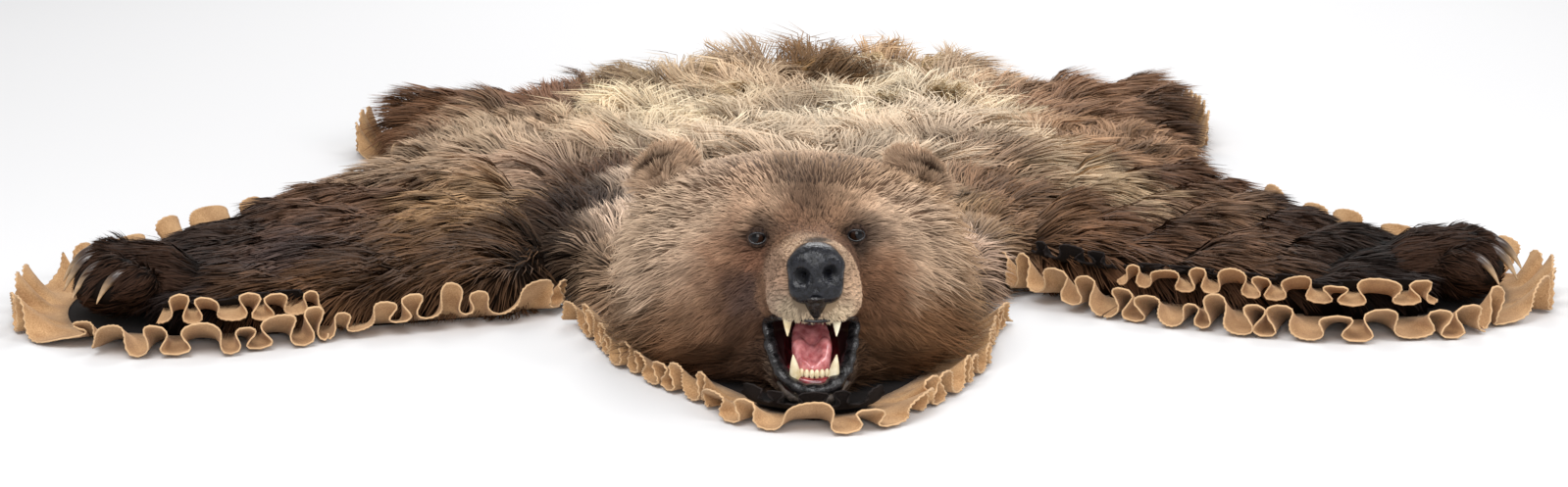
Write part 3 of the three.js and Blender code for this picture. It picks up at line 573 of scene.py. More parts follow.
def fur(name, roots, normals, heading, tones, length, lift, width, lock, seed, pull=0.7, curl=0.1,
        turn=0.2, droop=0.12, shade=0.5, form=LONG, loose=1.0, streak=0.28):
    """A mesh of strands. With s from 0 to 1 along a strand of some length, its middle line is the
    root, plus heading times s with the cosine of the lift, plus the normal times s less half its
    square with the sine of the lift, plus a pull towards the middle of its lock and a sideways
    curl, both growing with s, less a droop. Lock is the width of a lock, and a tress is four
    locks wide. Loose is how much strands differ, streak how much locks differ in brightness, and
    shade how dark the roots are painted, a painted shade for the shadow among the strands."""
    count = len(roots)
    random = np.random.default_rng(seed)
    normals = unit(normals)
    side = unit(np.cross(heading, normals))
    heading = np.cross(normals, side)
    wander = np.stack([drift(roots, lock * 4, seed + i) for i in range(3)], -1) * lock * 0.6
    cells = np.floor((roots + wander) / lock)
    tresses = np.floor((roots + 1.7 * wander) / (lock * 4))
    centre = (cells + 0.5) * lock - wander
    own = [chance(cells, seed + i) for i in range(5)]
    wide = [chance(tresses, seed + 7 + i) for i in range(3)]
    angle = ((own[0] - 0.5) * 2 + (wide[0] - 0.5) * 1.6) * turn
    angle = angle + random.normal(0, 0.09 * loose, count)
    heading, side = turned(heading, side, angle), turned(side, -heading, angle)
    inward = centre - roots
    inward -= normals * np.einsum("ij,ij->i", inward, normals)[:, None]
    length = length * (0.86 + 0.16 * own[1] + 0.16 * wide[1])
    length = length * random.uniform(1.1 - 0.4 * loose, 1.1, count)
    lift = lift * (0.7 + 0.35 * own[2] + 0.25 * wide[2]) + random.normal(0, 0.06 * loose, count)
    stations, widths = (np.array(part) for part in form)
    pairs = len(widths)
    s = stations[None, :, None]
    along = length[:, None, None] * s
    middle = (roots[:, None] + heading[:, None] * along * np.cos(lift)[:, None, None]
              + normals[:, None] * along * (1 - 0.5 * s) * np.sin(lift)[:, None, None] * 1.25
              + inward[:, None] * pull * s**2)
    wave = np.sin(2 * math.pi * (0.8 * s[..., 0] + own[3][:, None])) * s[..., 0] * length[:, None] * curl
    middle += side[:, None] * wave[..., None]
    middle[..., 2] -= (droop * length)[:, None] * s[..., 0] ** 2
    middle[..., 2] = np.maximum(middle[..., 2], LOWEST)
    roll = random.normal(0, 0.5, count)
    across = unit(side * np.cos(roll)[:, None] + normals * np.sin(roll)[:, None])
    breadth = (width * random.uniform(0.7, 1.3, count))[:, None, None]
    half = across[:, None] * (widths * 0.5)[None, :, None] * breadth
    both = np.stack([middle[:, :pairs] - half, middle[:, :pairs] + half], 2).reshape(count, 2 * pairs, 3)
    points = np.concatenate([both, middle[:, pairs:]], 1)
    first = np.arange(count)[:, None, None] * (2 * pairs + 1)
    steps = np.arange(0, 2 * pairs - 2, 2)[:, None]
    quads = ((steps + [0, 1, 3, 2])[None] + first).reshape(-1, 4)
    triangles = (np.array([[2 * pairs - 2, 2 * pairs - 1, 2 * pairs]])[None] + first).reshape(-1, 3)
    piece = put_mesh(name, points.reshape(-1, 3), quads, triangles)
    root_tone, tip_tone = tones
    share = np.append(np.repeat(stations[:pairs], 2), 1.0)[None, :, None]
    bright = 0.92 + streak * (own[4] - 0.5) + 0.25 * (wide[2] - 0.4)
    bright = bright + 0.12 * drift(roots, lock * 6, seed + 9)
    bright = bright * random.uniform(1 - 0.2 * loose, 1 + 0.22 * loose, count)
    mixed = share**0.8
    tone = root_tone[:, None] * (1 - mixed) + tip_tone[:, None] * mixed
    # painted shade: each strand is darkened towards its root, down to shade times its colour there, for the
    # shadow among the strands
    tone = tone * bright[:, None, None] * (shade + (1 - shade) * np.minimum(share * 2.6, 1))
    paint(piece, np.clip(tone, 0, 1).reshape(-1, 3))
    ribbon = np.cross(across, unit(middle[:, -1] - middle[:, 0]))
    soft = np.repeat(unit(ribbon * 0.5 + normals * 0.6), 2 * pairs + 1, 0)
    piece.data.normals_split_custom_set_from_vertices(soft.astype(np.float32))
    print(name, count, "strands")
    return piece


print("points of a long and a short strand:", 2 * len(LONG[1]) + 1, "and", 2 * len(SHORT[1]) + 1)

# %% [markdown]
# The colour of a strand comes from its own colour attribute, so one material serves all fur. It
# has the satin of clean hair, which is a broad and faint highlight. The glass eyes and the claws
# are coloured in the same way later, with other values for their gloss.

# %% Fur material
def plain_material(name, roughness, **sockets):
    """A Principled material with fixed values, and its tree and shader for the pattern."""
    material = bpy.data.materials.new(name)
    material.use_nodes = True
    shader = material.node_tree.nodes["Principled BSDF"]
    shader.inputs["Roughness"].default_value = roughness
    for socket, value in sockets.items():
        shader.inputs[socket.replace("_", " ")].default_value = value
    return material, material.node_tree, shader


def toned_material(name, roughness, **sockets):
    """A material that takes its colour from the attribute tone."""
    material, tree, shader = plain_material(name, roughness, **sockets)
    tone = tree.nodes.new("ShaderNodeAttribute")
    tone.attribute_name = "tone"
    tree.links.new(tone.outputs["Color"], shader.inputs["Base Color"])
    return material


FUR = toned_material("fur", 0.55, Specular_IOR_Level=0.05)
print("materials:", len(bpy.data.materials))

# %% [markdown]
# Under the fur lies the pelt with its dense underfur. It is one lumpy slab on the height map, a
# little over half as high as the fur, and it closes any gap that the strands leave. Its rim is
# set back, so that the fur hangs over it as it does over the edge of a real hide.

# %% Pelt
SKIN_SHARE = 0.66  # of the fur's height above its bed
# painted shade: the pelt takes this share of the strands' root colour, for the shadow deep under the fur
SKIN_SHADE = 0.55  # of the strands' root colour
pelt_cells = insideness > 0.46
skin_top = BED + (fur_top - BED) * SKIN_SHARE * np.clip((insideness - 0.3) * 2.4, 0.3, 1)


def slab(name, map_x, map_y, top, mask, under):
    """A closed slab: the cells of a map where the mask holds, their top at the map's height,
    their underside level, and a wall where a cell has no neighbour."""
    full = mask[:-1, :-1] & mask[:-1, 1:] & mask[1:, :-1] & mask[1:, 1:]
    rows, columns = mask.shape
    x, y = np.meshgrid(map_x, map_y)
    upper = np.stack([x, y, top], -1).reshape(-1, 3)
    lower = np.stack([x, y, np.full_like(top, under)], -1).reshape(-1, 3)
    i, j = np.nonzero(full)
    near, far = i * columns + j, (i + 1) * columns + j
    quad = np.stack([near, near + 1, far + 1, far], -1)
    sides = np.concatenate([quad[:, [k, (k + 1) % 4]] for k in range(4)])
    code = sides[:, 0].astype(np.int64) * rows * columns + sides[:, 1]
    back = sides[:, 1].astype(np.int64) * rows * columns + sides[:, 0]
    rim = sides[~np.isin(code, back)]
    wall = np.concatenate([rim[:, ::-1], rim + rows * columns], 1)
    quads = np.concatenate([quad, quad[:, ::-1] + rows * columns, wall])
    used, number = np.unique(quads, return_inverse=True)
    return put_mesh(name, np.concatenate([upper, lower])[used], number.reshape(-1, 4))


def mesh_points(piece):
    """The points of a piece, in the table's millimetres."""
    found = np.empty(len(piece.data.vertices) * 3, np.float32)
    piece.data.vertices.foreach_get("co", found)
    return (found.reshape(-1, 3) - SHIFT) / MM


pelt = slab("pelt", MAP_X[::2], MAP_Y[::2], skin_top[::2, ::2], pelt_cells[::2, ::2], BED)
paint(pelt, blended(mesh_points(pelt), COAT)[0] * SKIN_SHADE)
fit_out(pelt, FUR, "fur_body", "hide")
print("pelt faces:", len(pelt.data.polygons))

# %% [markdown]
# Fur has a lie. On the back it runs from the neck to the rump, on the legs from the body to the
# paws, and near the rim it turns out over the edge. The lie is a weighted sum of those
# directions at each place, with a slow wander added, strongest among the long pale locks.

# %% Lie of the fur
LEG_WAYS = {"foreLeft": (-0.76, -0.64), "foreRight": (0.83, -0.56),
            "hindLeft": (-1, 0.05), "hindRight": (1, 0.1)}


def paleness(places):
    """How far a place belongs to the long pale fur of the back, from 0 to 1: a ramp over the
    distance from the middle of the back, squeezed to an oval."""
    away = np.hypot((places[:, 0] - 60) / 420, (places[:, 1] - 420) / 560)
    return ramp(-away, -1.1, -0.6)


def lie(places):
    """Combing direction over the plan, as flat unit vectors, with the way out over the rim and
    how near the rim is: the way from neck to rump, mixed with each leg's own way by a ramp, and
    with the way out by the nearness of the rim, then turned by a wander."""
    x, y = places[:, 0], places[:, 1]
    front = ramp(-y, -330, -120)
    rear = ramp(y, 420, 560)
    way = np.stack([0.45 * np.tanh(x / 260), np.ones_like(x)], -1)
    for limb, share in (("foreLeft", ramp(-x, 230, 420) * front), ("foreRight", ramp(x, 230, 420) * front),
                        ("hindLeft", ramp(-x, 330, 500) * rear), ("hindRight", ramp(x, 330, 500) * rear)):
        way = way * (1 - share[:, None]) + np.array(LEG_WAYS[limb]) * share[:, None] * 1.2
    out = -unit(np.stack([read_map(slope_x, places), read_map(slope_y, places)], -1))
    near_rim = np.clip((0.93 - read_map(insideness, places)) / 0.36, 0, 1)
    way = unit(way) * (1 - 0.8 * near_rim[:, None]) + out * near_rim[:, None] * 1.3
    loose = 0.3 + 0.55 * paleness(places)
    angle = loose * (drift(places[:, :2], 170, 5) + 0.5 * drift(places[:, :2], 60, 6))
    way = unit(way)
    cross = np.stack([-way[:, 1], way[:, 0]], -1)
    return turned(way, cross, angle), out, near_rim


print("way of the fur on the hump:", lie(np.array([[0.0, 100.0]]))[0].round(2))

# %% [markdown]
# The coat is combed region by region, so that no mesh grows past two hundred thousand triangles.
# Roots are scattered evenly over the skin. Long, loose and curly strands go on the back, shorter
# and sleeker ones on the legs, and the shortest next to the paws.

# %% Coat of the body
COAT_WIDTH = 1.95  # of a strand at its widest


def front_felt(places):
    """1 along the front of the front legs, where black felt is sewn beside the fur."""
    return ramp(np.abs(places[:, 0]), 340, 400) * ramp(-places[:, 1], 120, 300)


def skin_roots(count, seed, wanted):
    """Even random places on the hide where wanted holds, with their height, normal and lie."""
    random = np.random.default_rng(seed)
    row, column = np.nonzero(insideness > 0.45)
    places = np.stack([MAP_X[column], MAP_Y[row]], -1).astype(float)
    places = places[wanted(places)]
    places = places[random.integers(0, len(places), count)] + random.uniform(-CELL / 2, CELL / 2, (count, 2))
    way, out, near_rim = lie(places)
    free = near_rim * front_felt(places) < 0.75
    places, way, out, near_rim = places[free], way[free], out[free], near_rim[free]
    rise_y, rise_x = np.gradient(skin_top, CELL)
    normal = np.stack([-read_map(rise_x, places), -read_map(rise_y, places), np.ones(len(places))], -1)
    normal[:, :2] += out * (near_rim**2)[:, None] * 0.9
    roots = np.concatenate([places, read_map(skin_top, places)[:, None] - 2], -1)
    return roots, unit(normal), np.concatenate([way, np.zeros((len(way), 1))], -1), near_rim


def streaky(roots, size=26):
    """Roots moved about by a fine wander, so that the colours they read run into each other in
    streaks."""
    places = roots[:, :2]
    shift = np.stack([drift(places, size, 21), drift(places, size, 22)], -1)
    return np.concatenate([places + shift * size * (0.8, 1.4), roots[:, 2:]], -1)


def coat(name, count, seed, wanted, length, lift, lock, curl, form):
    """One region of the coat, with its strands shorter and flatter near the rim and the paws, and
    cropped over the black felt along the front of the legs."""
    roots, normals, way, near_rim = skin_roots(count, seed, wanted)
    tones = blended(streaky(roots), COAT)
    x, y = roots[:, 0], roots[:, 1]
    towards_paw = ramp(np.abs(x), 560, 800) * ramp(-y, -250, 0)
    tufted = ramp(y, 560, 800) * ramp(-np.abs(x - 60), -420, -260)
    tufted = tufted * (0.4 + 1.1 * drift(roots[:, :1], 110, 8))
    pale = paleness(roots)
    long = length * (1 + 0.2 * pale + 0.15 * tufted) * (1 - 0.4 * towards_paw)
    long = long * (1 - (0.3 + 0.5 * front_felt(roots)) * near_rim**2)
    raised = lift * (1 - 0.4 * towards_paw) * (1 - 0.2 * near_rim) + 0.3 * tufted
    piece = fur(name, roots, normals, way, tones, long, raised, COAT_WIDTH, lock, seed, pull=0.86,
                curl=curl, turn=0.18 + 0.3 * pale, droop=0.08 + 0.1 * near_rim, shade=0.3, form=form,
                loose=0.5, streak=0.64)
    return fit_out(piece, FUR, "fur_body")


FAR = 9999
REGIONS = [  # name, count, where across, from and to in y, length, lift, lock, curl, form
    ("fur_leg_left", 27000, lambda p: p[:, 0] < -330, (-FAR, 260), 80, 0.38, 15, 0.05, SHORT),
    ("fur_leg_right", 27000, lambda p: p[:, 0] > 330, (-FAR, 260), 80, 0.38, 15, 0.05, SHORT),
    ("fur_neck", 21000, lambda p: np.abs(p[:, 0]) <= 330, (-FAR, 60), 86, 0.47, 17, 0.06, SHORT),
    ("fur_back", 24500, lambda p: np.abs(p[:, 0]) <= 330, (60, FAR), 118, 0.5, 34, 0.16, LONG),
    ("fur_haunches", 26500, lambda p: np.abs(p[:, 0]) > 330, (260, FAR), 96, 0.46, 20, 0.07, SHORT),
]
for seed, (name, count, across, (front, rear), *form) in enumerate(REGIONS, 11):
    coat(name, count, seed, lambda p: across(p) & (p[:, 1] > front) & (p[:, 1] <= rear), *form)

# %% [markdown]
# A few long locks stand up out of the coat along the rump and round the swirl of dark fur there.
# Each is a small disc of strands with one heading, drawn together at their tips.

# %% Standing locks
TUFTS = [  # x, y, heading x, heading y, length, width, root, tip
    (120, 780, 0.3, 0.4, 120, 34, (130, 98, 62), (222, 192, 148)),
    (170, 800, -0.2, 0.5, 135, 40, (136, 104, 68), (228, 200, 156)),
    (215, 790, 0.5, 0.4, 125, 36, (130, 98, 62), (222, 192, 148)),
    (-40, 770, -0.7, 0.2, 105, 30, (80, 52, 30), (186, 146, 98)),
    (0, 790, 0.5, 0.3, 110, 32, (34, 18, 9), (168, 128, 82)),
    (45, 760, -0.5, 0.5, 110, 34, (34, 18, 9), (150, 110, 70)),
    (85, 770, 0.8, 0.1, 110, 30, (60, 36, 20), (160, 118, 76)),
    (-110, 760, -0.5, 0.4, 100, 36, (110, 82, 52), (208, 178, 134)),
    (-190, 740, -0.6, 0.3, 100, 36, (110, 84, 54), (206, 178, 136)),
    (310, 770, 0.4, 0.5, 100, 38, (112, 84, 62), (206, 174, 142)),
    (60, 610, 0.8, -0.3, 120, 40, (110, 80, 52), (208, 176, 140)),
    (-40, 600, -0.6, -0.5, 120, 40, (120, 92, 62), (226, 200, 160)),
    (150, 560, 0.2, -0.8, 130, 44, (130, 100, 68), (240, 222, 188)),
    (230, 560, 0.6, -0.6, 130, 44, (130, 100, 68), (236, 216, 180)),
]


TUFT_STRANDS = 320  # in one lock
TUFT_SEED = 71
tuft_random = np.random.default_rng(TUFT_SEED)


def tuft_places(x, y, wide):
    """Places spread evenly over a disc: the reach is the root of an even random number."""
    angle = tuft_random.uniform(0, 2 * math.pi, TUFT_STRANDS)
    reach = wide / 2 * np.sqrt(tuft_random.uniform(0, 1, TUFT_STRANDS))
    return np.stack([x + reach * np.cos(angle), y + reach * np.sin(angle)], -1)


spots = np.concatenate([tuft_places(row[0], row[1], row[5]) for row in TUFTS])
roots = np.concatenate([spots, read_map(skin_top, spots)[:, None]], -1)
upright = np.tile([0.0, 0, 1], (len(roots), 1))
_, _, way_x, way_y, long, _, dark, light = (
    np.repeat(np.array(column, float), TUFT_STRANDS, axis=0) for column in zip(*TUFTS))
heading = np.stack([way_x, way_y, np.zeros(len(roots))], -1)
locks = fur("fur_tufts", roots, upright, heading, (linear(dark), linear(light)), long, 0.95, 1.8, 30,
            TUFT_SEED, pull=0.8, curl=0.1, turn=0.1, shade=0.45)
fit_out(locks, FUR, "fur_body")

# %% [markdown]
# Felt is pressed wool: matt, a little fuzzy, with a fine fibre grain and paler where it is cut.
# Its material mixes two tones over a fibre noise, lightens the pinked edge by an attribute that
# the mesh carries, for the paler cut and for a painted highlight where the edge catches the
# light, and uses the same noise as a shallow bump.

# %% Felt material
def marked_colour(material, attribute, colour):
    """Mixes the material's colour towards another by an attribute from 0 to 1, whose node is
    returned."""
    nodes, links = material.node_tree.nodes, material.node_tree.links
    base = nodes["Principled BSDF"].inputs["Base Color"]
    share = nodes.new("ShaderNodeAttribute")
    share.attribute_name = attribute
    mix = nodes.new("ShaderNodeMix")
    mix.data_type = "RGBA"
    mix.inputs["B"].default_value = (*colour, 1)
    links.new(share.outputs["Fac"], mix.inputs["Factor"])
    links.new(base.links[0].from_socket, mix.inputs["A"])
    links.new(mix.outputs["Result"], base)
    return share


def felt_material(name, dark, light, cut_and_highlight, fuzz):
    """Two tones over a wander and a fibre grain, and a third where the attribute edge is 1: the
    paler cut edge with a painted highlight on it. Fuzz is the weight of the sheen of loose fibres."""
    material, tree, shader = plain_material(name, 0.95, Specular_IOR_Level=0.1, Sheen_Weight=fuzz,
                                            Sheen_Roughness=0.6)
    nodes, links = tree.nodes, tree.links
    place = nodes.new("ShaderNodeTexCoord")
    wander = nodes.new("ShaderNodeTexNoise")
    wander.inputs["Scale"].default_value = 26
    wander.inputs["Detail"].default_value = 4
    grain = nodes.new("ShaderNodeTexNoise")
    grain.inputs["Scale"].default_value = 520
    grain.inputs["Detail"].default_value = 5
    for noise in (wander, grain):
        links.new(place.outputs["Object"], noise.inputs["Vector"])
    both = nodes.new("ShaderNodeMath")
    both.operation = "ADD"
    links.new(wander.outputs["Fac"], both.inputs[0])
    links.new(grain.outputs["Fac"], both.inputs[1])
    tones = nodes.new("ShaderNodeValToRGB")
    tones.color_ramp.elements[0].position = 0.38
    tones.color_ramp.elements[1].position = 0.66
    tones.color_ramp.elements[0].color = (*linear(dark), 1)
    tones.color_ramp.elements[1].color = (*linear(light), 1)
    half = nodes.new("ShaderNodeMath")
    half.operation = "MULTIPLY"
    half.inputs[1].default_value = 0.5
    links.new(both.outputs[0], half.inputs[0])
    links.new(half.outputs[0], tones.inputs["Fac"])
    links.new(tones.outputs["Color"], shader.inputs["Base Color"])
    marked_colour(material, "edge", linear(cut_and_highlight))
    bump = nodes.new("ShaderNodeBump")
    bump.inputs["Strength"].default_value = 0.35
    bump.inputs["Distance"].default_value = 0.0008
    links.new(grain.outputs["Fac"], bump.inputs["Height"])
    links.new(bump.outputs["Normal"], shader.inputs["Normal"])
    return material


# the third colour of each felt is its paler cut edge with a painted highlight
TAN_FELT = felt_material("felt_tan", (154, 116, 79), (200, 161, 118), (216, 183, 144), 0.08)
BLACK_FELT = felt_material("felt_black", (15, 12, 12), (34, 28, 27), (46, 40, 38), 0.02)
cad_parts["backing"].material_slots[0].material = BLACK_FELT
print("felts:", TAN_FELT.name, "and", BLACK_FELT.name)

# %% [markdown]
# The border is a strip of felt, sewn flat under the hide and gathered so that its free edge
# stands in loops like the edge of a ruff. A cloth simulation could gather it, but its folds
# would drift off the solids. Here the folds are a formula on the solids' own path: the height of
# the free edge follows a cosine, as in the solids, and the cloth also slides along the path with
# the sine of twice that phase, which rounds each wave into a loop with a narrow neck.

# %% Rows of the border
MARGIN = 12  # the part of a strip that is sewn under the hide
LOWER_Z, UPPER_Z, BLACK_Z = 3.3, 40.4, 42.7  # heights at which strips are sewn on
ROWS = {  # where the strip starts, its height there, at the rim and at the free edge
    "lower": (-MARGIN, LOWER_Z, LOWER_Z, LOWER_Z),
    "upper": (-MARGIN, UPPER_Z, UPPER_Z, 34),
    "trim": (-MARGIN, BLACK_Z, BLACK_Z, 52),
    "throat": (-44, LOWER_Z, 13, 19),
    "foot": (-24, LOWER_Z, 15, 26),
}
BORDERS = [  # name, row, limb, side, from, to, reach, crest, pleat, lift
    ("border_neck_left", "lower", "throat", "a", 0.1, 5, (52, 56, 50), 34, 42, 0),
    ("border_chin", "lower", "throat", "cap", 0, 1, (50, 66, 62), 26, 42, 0),
    ("border_neck_right", "lower", "throat", "b", 0.1, 5, (50, 54, 58), 36, 42, 0),
    ("border_shoulder_left", "lower", "foreLeft", "a", 1.3, 4, (44, 62, 70), 38, 44, 18),
    ("border_leg_left", "lower", "foreLeft", "a", 4, 6.63, (72, 96, 92), 40, 44, 0),
    ("border_leg_left_upper", "upper", "foreLeft", "a", 4, 6, (50, 58, 54), 30, 40, 0),
    ("border_tip_left", "lower", "foreLeft", "tip", 6.63, 6.17, (70, 52, 56), 44, 52, 0),
    ("border_leg_left_rear", "lower", "foreLeft", "b", 2.2, 6.17, (46, 52, 56), 44, 88, 0),
    ("border_shoulder_right", "lower", "foreRight", "a", 0.7, 2.5, (60, 84, 100), 40, 42, 14),
    ("border_leg_right", "lower", "foreRight", "a", 2.5, 6.53, (104, 128, 88), 40, 44, 0),
    ("border_leg_right_upper", "upper", "foreRight", "a", 2.5, 6, (50, 60, 52), 31, 44, 0),
    ("border_tip_right", "lower", "foreRight", "tip", 6.53, 6.17, (74, 46, 50), 46, 54, 0),
    ("border_leg_right_rear", "lower", "foreRight", "b", 2, 6.17, (46, 50, 52), 44, 88, 0),
    ("border_flank_left", "lower", "torso", "a", 4.5, 6, (44, 46, 40), 34, 92, 0),
    ("border_flank_right", "lower", "torso", "b", 4.5, 6, (44, 46, 36), 34, 92, 0),
    ("border_hind_left", "lower", "hindLeft", "cap", 0, 1, (34, 40, 44), 58, 40, 0),
    ("border_hind_right", "lower", "hindRight", "cap", 0, 1, (34, 36, 30), 52, 38, 0),
    ("border_haunch_left", "lower", "torso", "a", 7.1, 8.7, (42, 48, 46), 36, 92, 0),
    ("border_haunch_right", "lower", "torso", "b", 8.05, 8.65, (36, 44, 46), 36, 92, 0),
    ("border_rump", "lower", "torso", "cap", 0.08, 0.92, (44, 46, 44), 36, 92, 0),
    ("trim_throat", "throat", "throat", "cap", 0.1, 0.9, (10, 12, 10), 16, 40, 0),
    ("trim_leg_left", "trim", "foreLeft", "a", 4, 6, (18, 20, 20), 7, 62, 0),
    ("trim_leg_right", "trim", "foreRight", "a", 2.5, 6, (20, 20, 20), 7, 62, 0),
    ("trim_shoulder_right", "trim", "foreRight", "a", 1.1, 2.4, (24, 30, 26), 22, 44, 0),
    ("trim_hind_right", "foot", "hindRight", "cap", 0.06, 0.94, (2, 3, 2), 18, 44, 0),
]
PATH_POINTS = 1200


def rib_middle(rib):
    """The point halfway between a rib's two ends."""
    return (np.array(rib[0], float) + np.array(rib[1])) / 2


def border_path(limb, side, start, stop):
    """Points, arc lengths and outward directions along one side of a limb: a smooth curve
    through points of its edge, its running sum of steps, and its tangent turned by a right
    angle, away from the limb's middle."""
    last = len(LIMBS[limb]["ribs"]) - 1
    if side == "cap":
        knots = cap(limb, np.linspace(start, stop, 13))
    elif side == "tip":
        knots = np.concatenate([edge(limb, "a", np.linspace(start, last, 4)),
                                cap(limb, np.linspace(0.1, 0.9, 9)),
                                edge(limb, "b", np.linspace(last, stop, 5))])
    else:
        knots = edge(limb, side, np.linspace(start, stop, 13))
    line = catmull_rom(knots, np.linspace(0, len(knots) - 1, PATH_POINTS))
    run = np.concatenate([[0], np.cumsum(np.linalg.norm(np.diff(line, axis=0), axis=1))])
    along = unit(np.gradient(line, axis=0))
    away = np.stack([along[:, 1], -along[:, 0]], -1)
    ribs = LIMBS[limb]["ribs"]
    inside = rib_middle(ribs[len(ribs) // 2])
    if side in ("cap", "tip"):
        inside = (rib_middle(ribs[-1]) + inside) / 2
    halfway = PATH_POINTS // 2
    if away[halfway] @ (line[halfway] - inside) < 0:
        away = -away
    return line, run, away


print("strips of felt:", len(BORDERS))

# %% [markdown]
# Each strip is one grid: its columns run along the path, two for each tooth of the pinked edge,
# and its levels run from the seam to the free edge. The first level lies under the hide and the
# next ones swing further out and up, so the strip flares as a flounce does.

# %% Gathered felt
FULLNESS = 2.3  # length of the free edge over the length of the path, in a strip of tall loops
LOW_FULLNESS = 1.3  # the same in a strip of low waves
PINK = 3.5  # half of a tooth of the pinked edge
PINK_DEPTH = 1.3
LEVELS = np.array([0, 0.25, 0.47, 0.68, 0.86, 0.975, 1.0])
UNEVEN = 0.56  # how far the height of loops varies
UNEVEN_CHIN = 0.9


def gathered(row, seed):
    """The middle of a gathered strip, as a grid of columns along the path by levels outward.
    With phase p, height is rim + (outer - rim + lift) level + crest level^1.5 (1 - cos p) / 2,
    and the slide along the path is a quarter of a pleat times level^2 sin 2p."""
    name, kind, limb, side, start, stop, reach, crest, pleat, lift = row
    line, run, away = border_path(limb, side, start, stop)
    long = run[-1]
    first, z, rim, outer = ROWS[kind]
    pleats = max(2, round(long / pleat))
    columns = int(long * (FULLNESS if crest > 20 else LOW_FULLNESS) / PINK)
    share = np.linspace(0, 1, columns)
    turns = share * pleats
    phase = 2 * math.pi * turns + 0.9 * np.sin(3.1 * turns + seed)
    step = np.arange(int(pleats * 1.3) + 3)
    vary = UNEVEN_CHIN if name == "border_chin" else UNEVEN
    tall = 1 - vary / 2 + vary * chance(step[:, None] + seed * 19, 0)
    uneven = np.interp(turns * 1.3, step + 0.5, tall)
    loop = np.interp(turns, step, 0.1 + 0.2 * chance(step[:, None], seed + 3))
    level = LEVELS[None]
    out = np.interp(share, [0, 0.5, 1], reach)[:, None] * level
    out = out * (1 + 0.07 * drift(turns[:, None], 2.3, seed)[:, None])
    out[:, -1] += np.where(np.arange(columns) % 2, PINK_DEPTH, -PINK_DEPTH)
    rise = lift * np.sin(math.pi * share)[:, None] * level
    wave = (1 - np.cos(phase))[:, None] / 2
    height = rim + (outer - rim) * level + rise + crest * uneven[:, None] * level**1.5 * wave
    height = height + 1.2 * (drift(turns[:, None], 0.7, seed + 1)[:, None] + 1) * level
    lean = 0.35 * drift(turns[:, None], 1.7, seed + 2)[:, None]
    slide = long / pleats * (loop[:, None] * np.sin(2 * phase)[:, None] + 0.3 * lean * wave) * level**2
    fade = np.minimum(1, np.minimum(share, 1 - share) * pleats * 2)[:, None]
    place = np.clip(share[:, None] * long + slide * fade, 0, long)
    base = np.stack([np.interp(place, run, line[:, k]) for k in range(2)], -1)
    heading = np.stack([np.interp(share * long, run, away[:, k]) for k in range(2)], -1)[:, None]
    free = np.concatenate([base + heading * out[..., None], height[..., None]], -1)
    flat_edge = np.stack([np.interp(share * long, run, line[:, k]) for k in range(2)], -1)
    seam = np.concatenate([flat_edge + heading[:, 0] * first, np.full((columns, 1), z)], -1)
    return np.concatenate([seam[:, None], free], 1)


def felt_piece(row, seed):
    """One strip of the border: its grid as a mesh, two millimetres thick."""
    grid = gathered(row, seed)
    columns, levels = grid.shape[:2]
    quads = grid_quads(columns, levels)
    a, b, c, d = (grid.reshape(-1, 3)[quads[:, k]] for k in range(4))
    facing = np.cross(c - a, d - b)
    if facing[:, 2].sum() < 0:
        quads = quads[:, ::-1]
    piece = put_mesh(row[0], grid.reshape(-1, 3), quads)
    # the free edge takes half of the third colour: the paler cut and a painted highlight along it
    cut_edge_and_highlight = np.zeros((columns, levels), np.float32)
    cut_edge_and_highlight[:, -1] = 0.5
    mark(piece, "edge", cut_edge_and_highlight.ravel())
    body = piece.modifiers.new("felt", "SOLIDIFY")
    body.thickness = FELT * MM
    body.offset = 0
    tan = row[0].startswith("border")
    fit_out(piece, TAN_FELT if tan else BLACK_FELT, "felt_tan" if tan else "felt_black", row[0])


for seed, row in enumerate(BORDERS, 1):
    felt_piece(row, seed)

# %% [markdown]
# The mounted head is a hard form under its fur: long muzzle, a stop between the eyes, a broad
# domed skull and heavy cheeks. It is lofted through rings taken from the solids' table, at a
# finer step and set in by the depth of its fur. Soft bumps push brows, whisker pads and cheeks
# out along the surface and press the eye sockets in.

# %% Head table
SKULL = [  # y, middle in x, top, height where widest, low, half width
    (-908, 36, 190, 160, 130, 25), (-897, 36, 203, 156, 114, 39), (-872, 35, 207, 146, 109, 50),
    (-840, 33, 208, 140, 99, 56), (-812, 30, 212, 135, 86, 66), (-790, 27, 221, 128, 52, 92),
    (-765, 24, 238, 124, 24, 126), (-735, 20, 258, 126, BED, 166), (-700, 15, 272, 132, BED, 196),
    (-650, 11, 274, 134, BED, 204), (-600, 8, 262, 128, BED, 196), (-555, 6, 232, 112, BED, 172),
    (-522, 5, 186, 92, BED, 138)]
JAW = [
    (-889, 34, 35, 28, 20, 17), (-878, 34, 42, 30, 14, 32), (-855, 33, 56, 36, 10, 41),
    (-830, 32, 71, 42, 8, 50), (-805, 30, 88, 52, 7, 62), (-778, 27, 100, 60, 6, 90)]
MOUTH = [
    (-896, 34, 110, 70, 34, 20), (-878, 34, 114, 70, 34, 25), (-866, 34, 121, 74, 32, 30),
    (-840, 33, 121, 80, 40, 33), (-810, 31, 114, 84, 56, 30), (-780, 29, 102, 88, 74, 20)]
NOSE_PAD = [
    (-924, 36, 180, 171, 160, 9), (-922, 36, 188, 172, 150, 19), (-917, 36, 200, 174, 142, 29),
    (-907, 36, 206, 176, 138, 32), (-894, 36, 207, 180, 146, 29)]
TONGUE = [
    (-866, 33, 62, 54, 36, 12), (-856, 33, 70, 58, 38, 20), (-835, 32, 82, 68, 45, 23),
    (-808, 31, 94, 78, 60, 21), (-794, 31, 94, 84, 68, 14)]
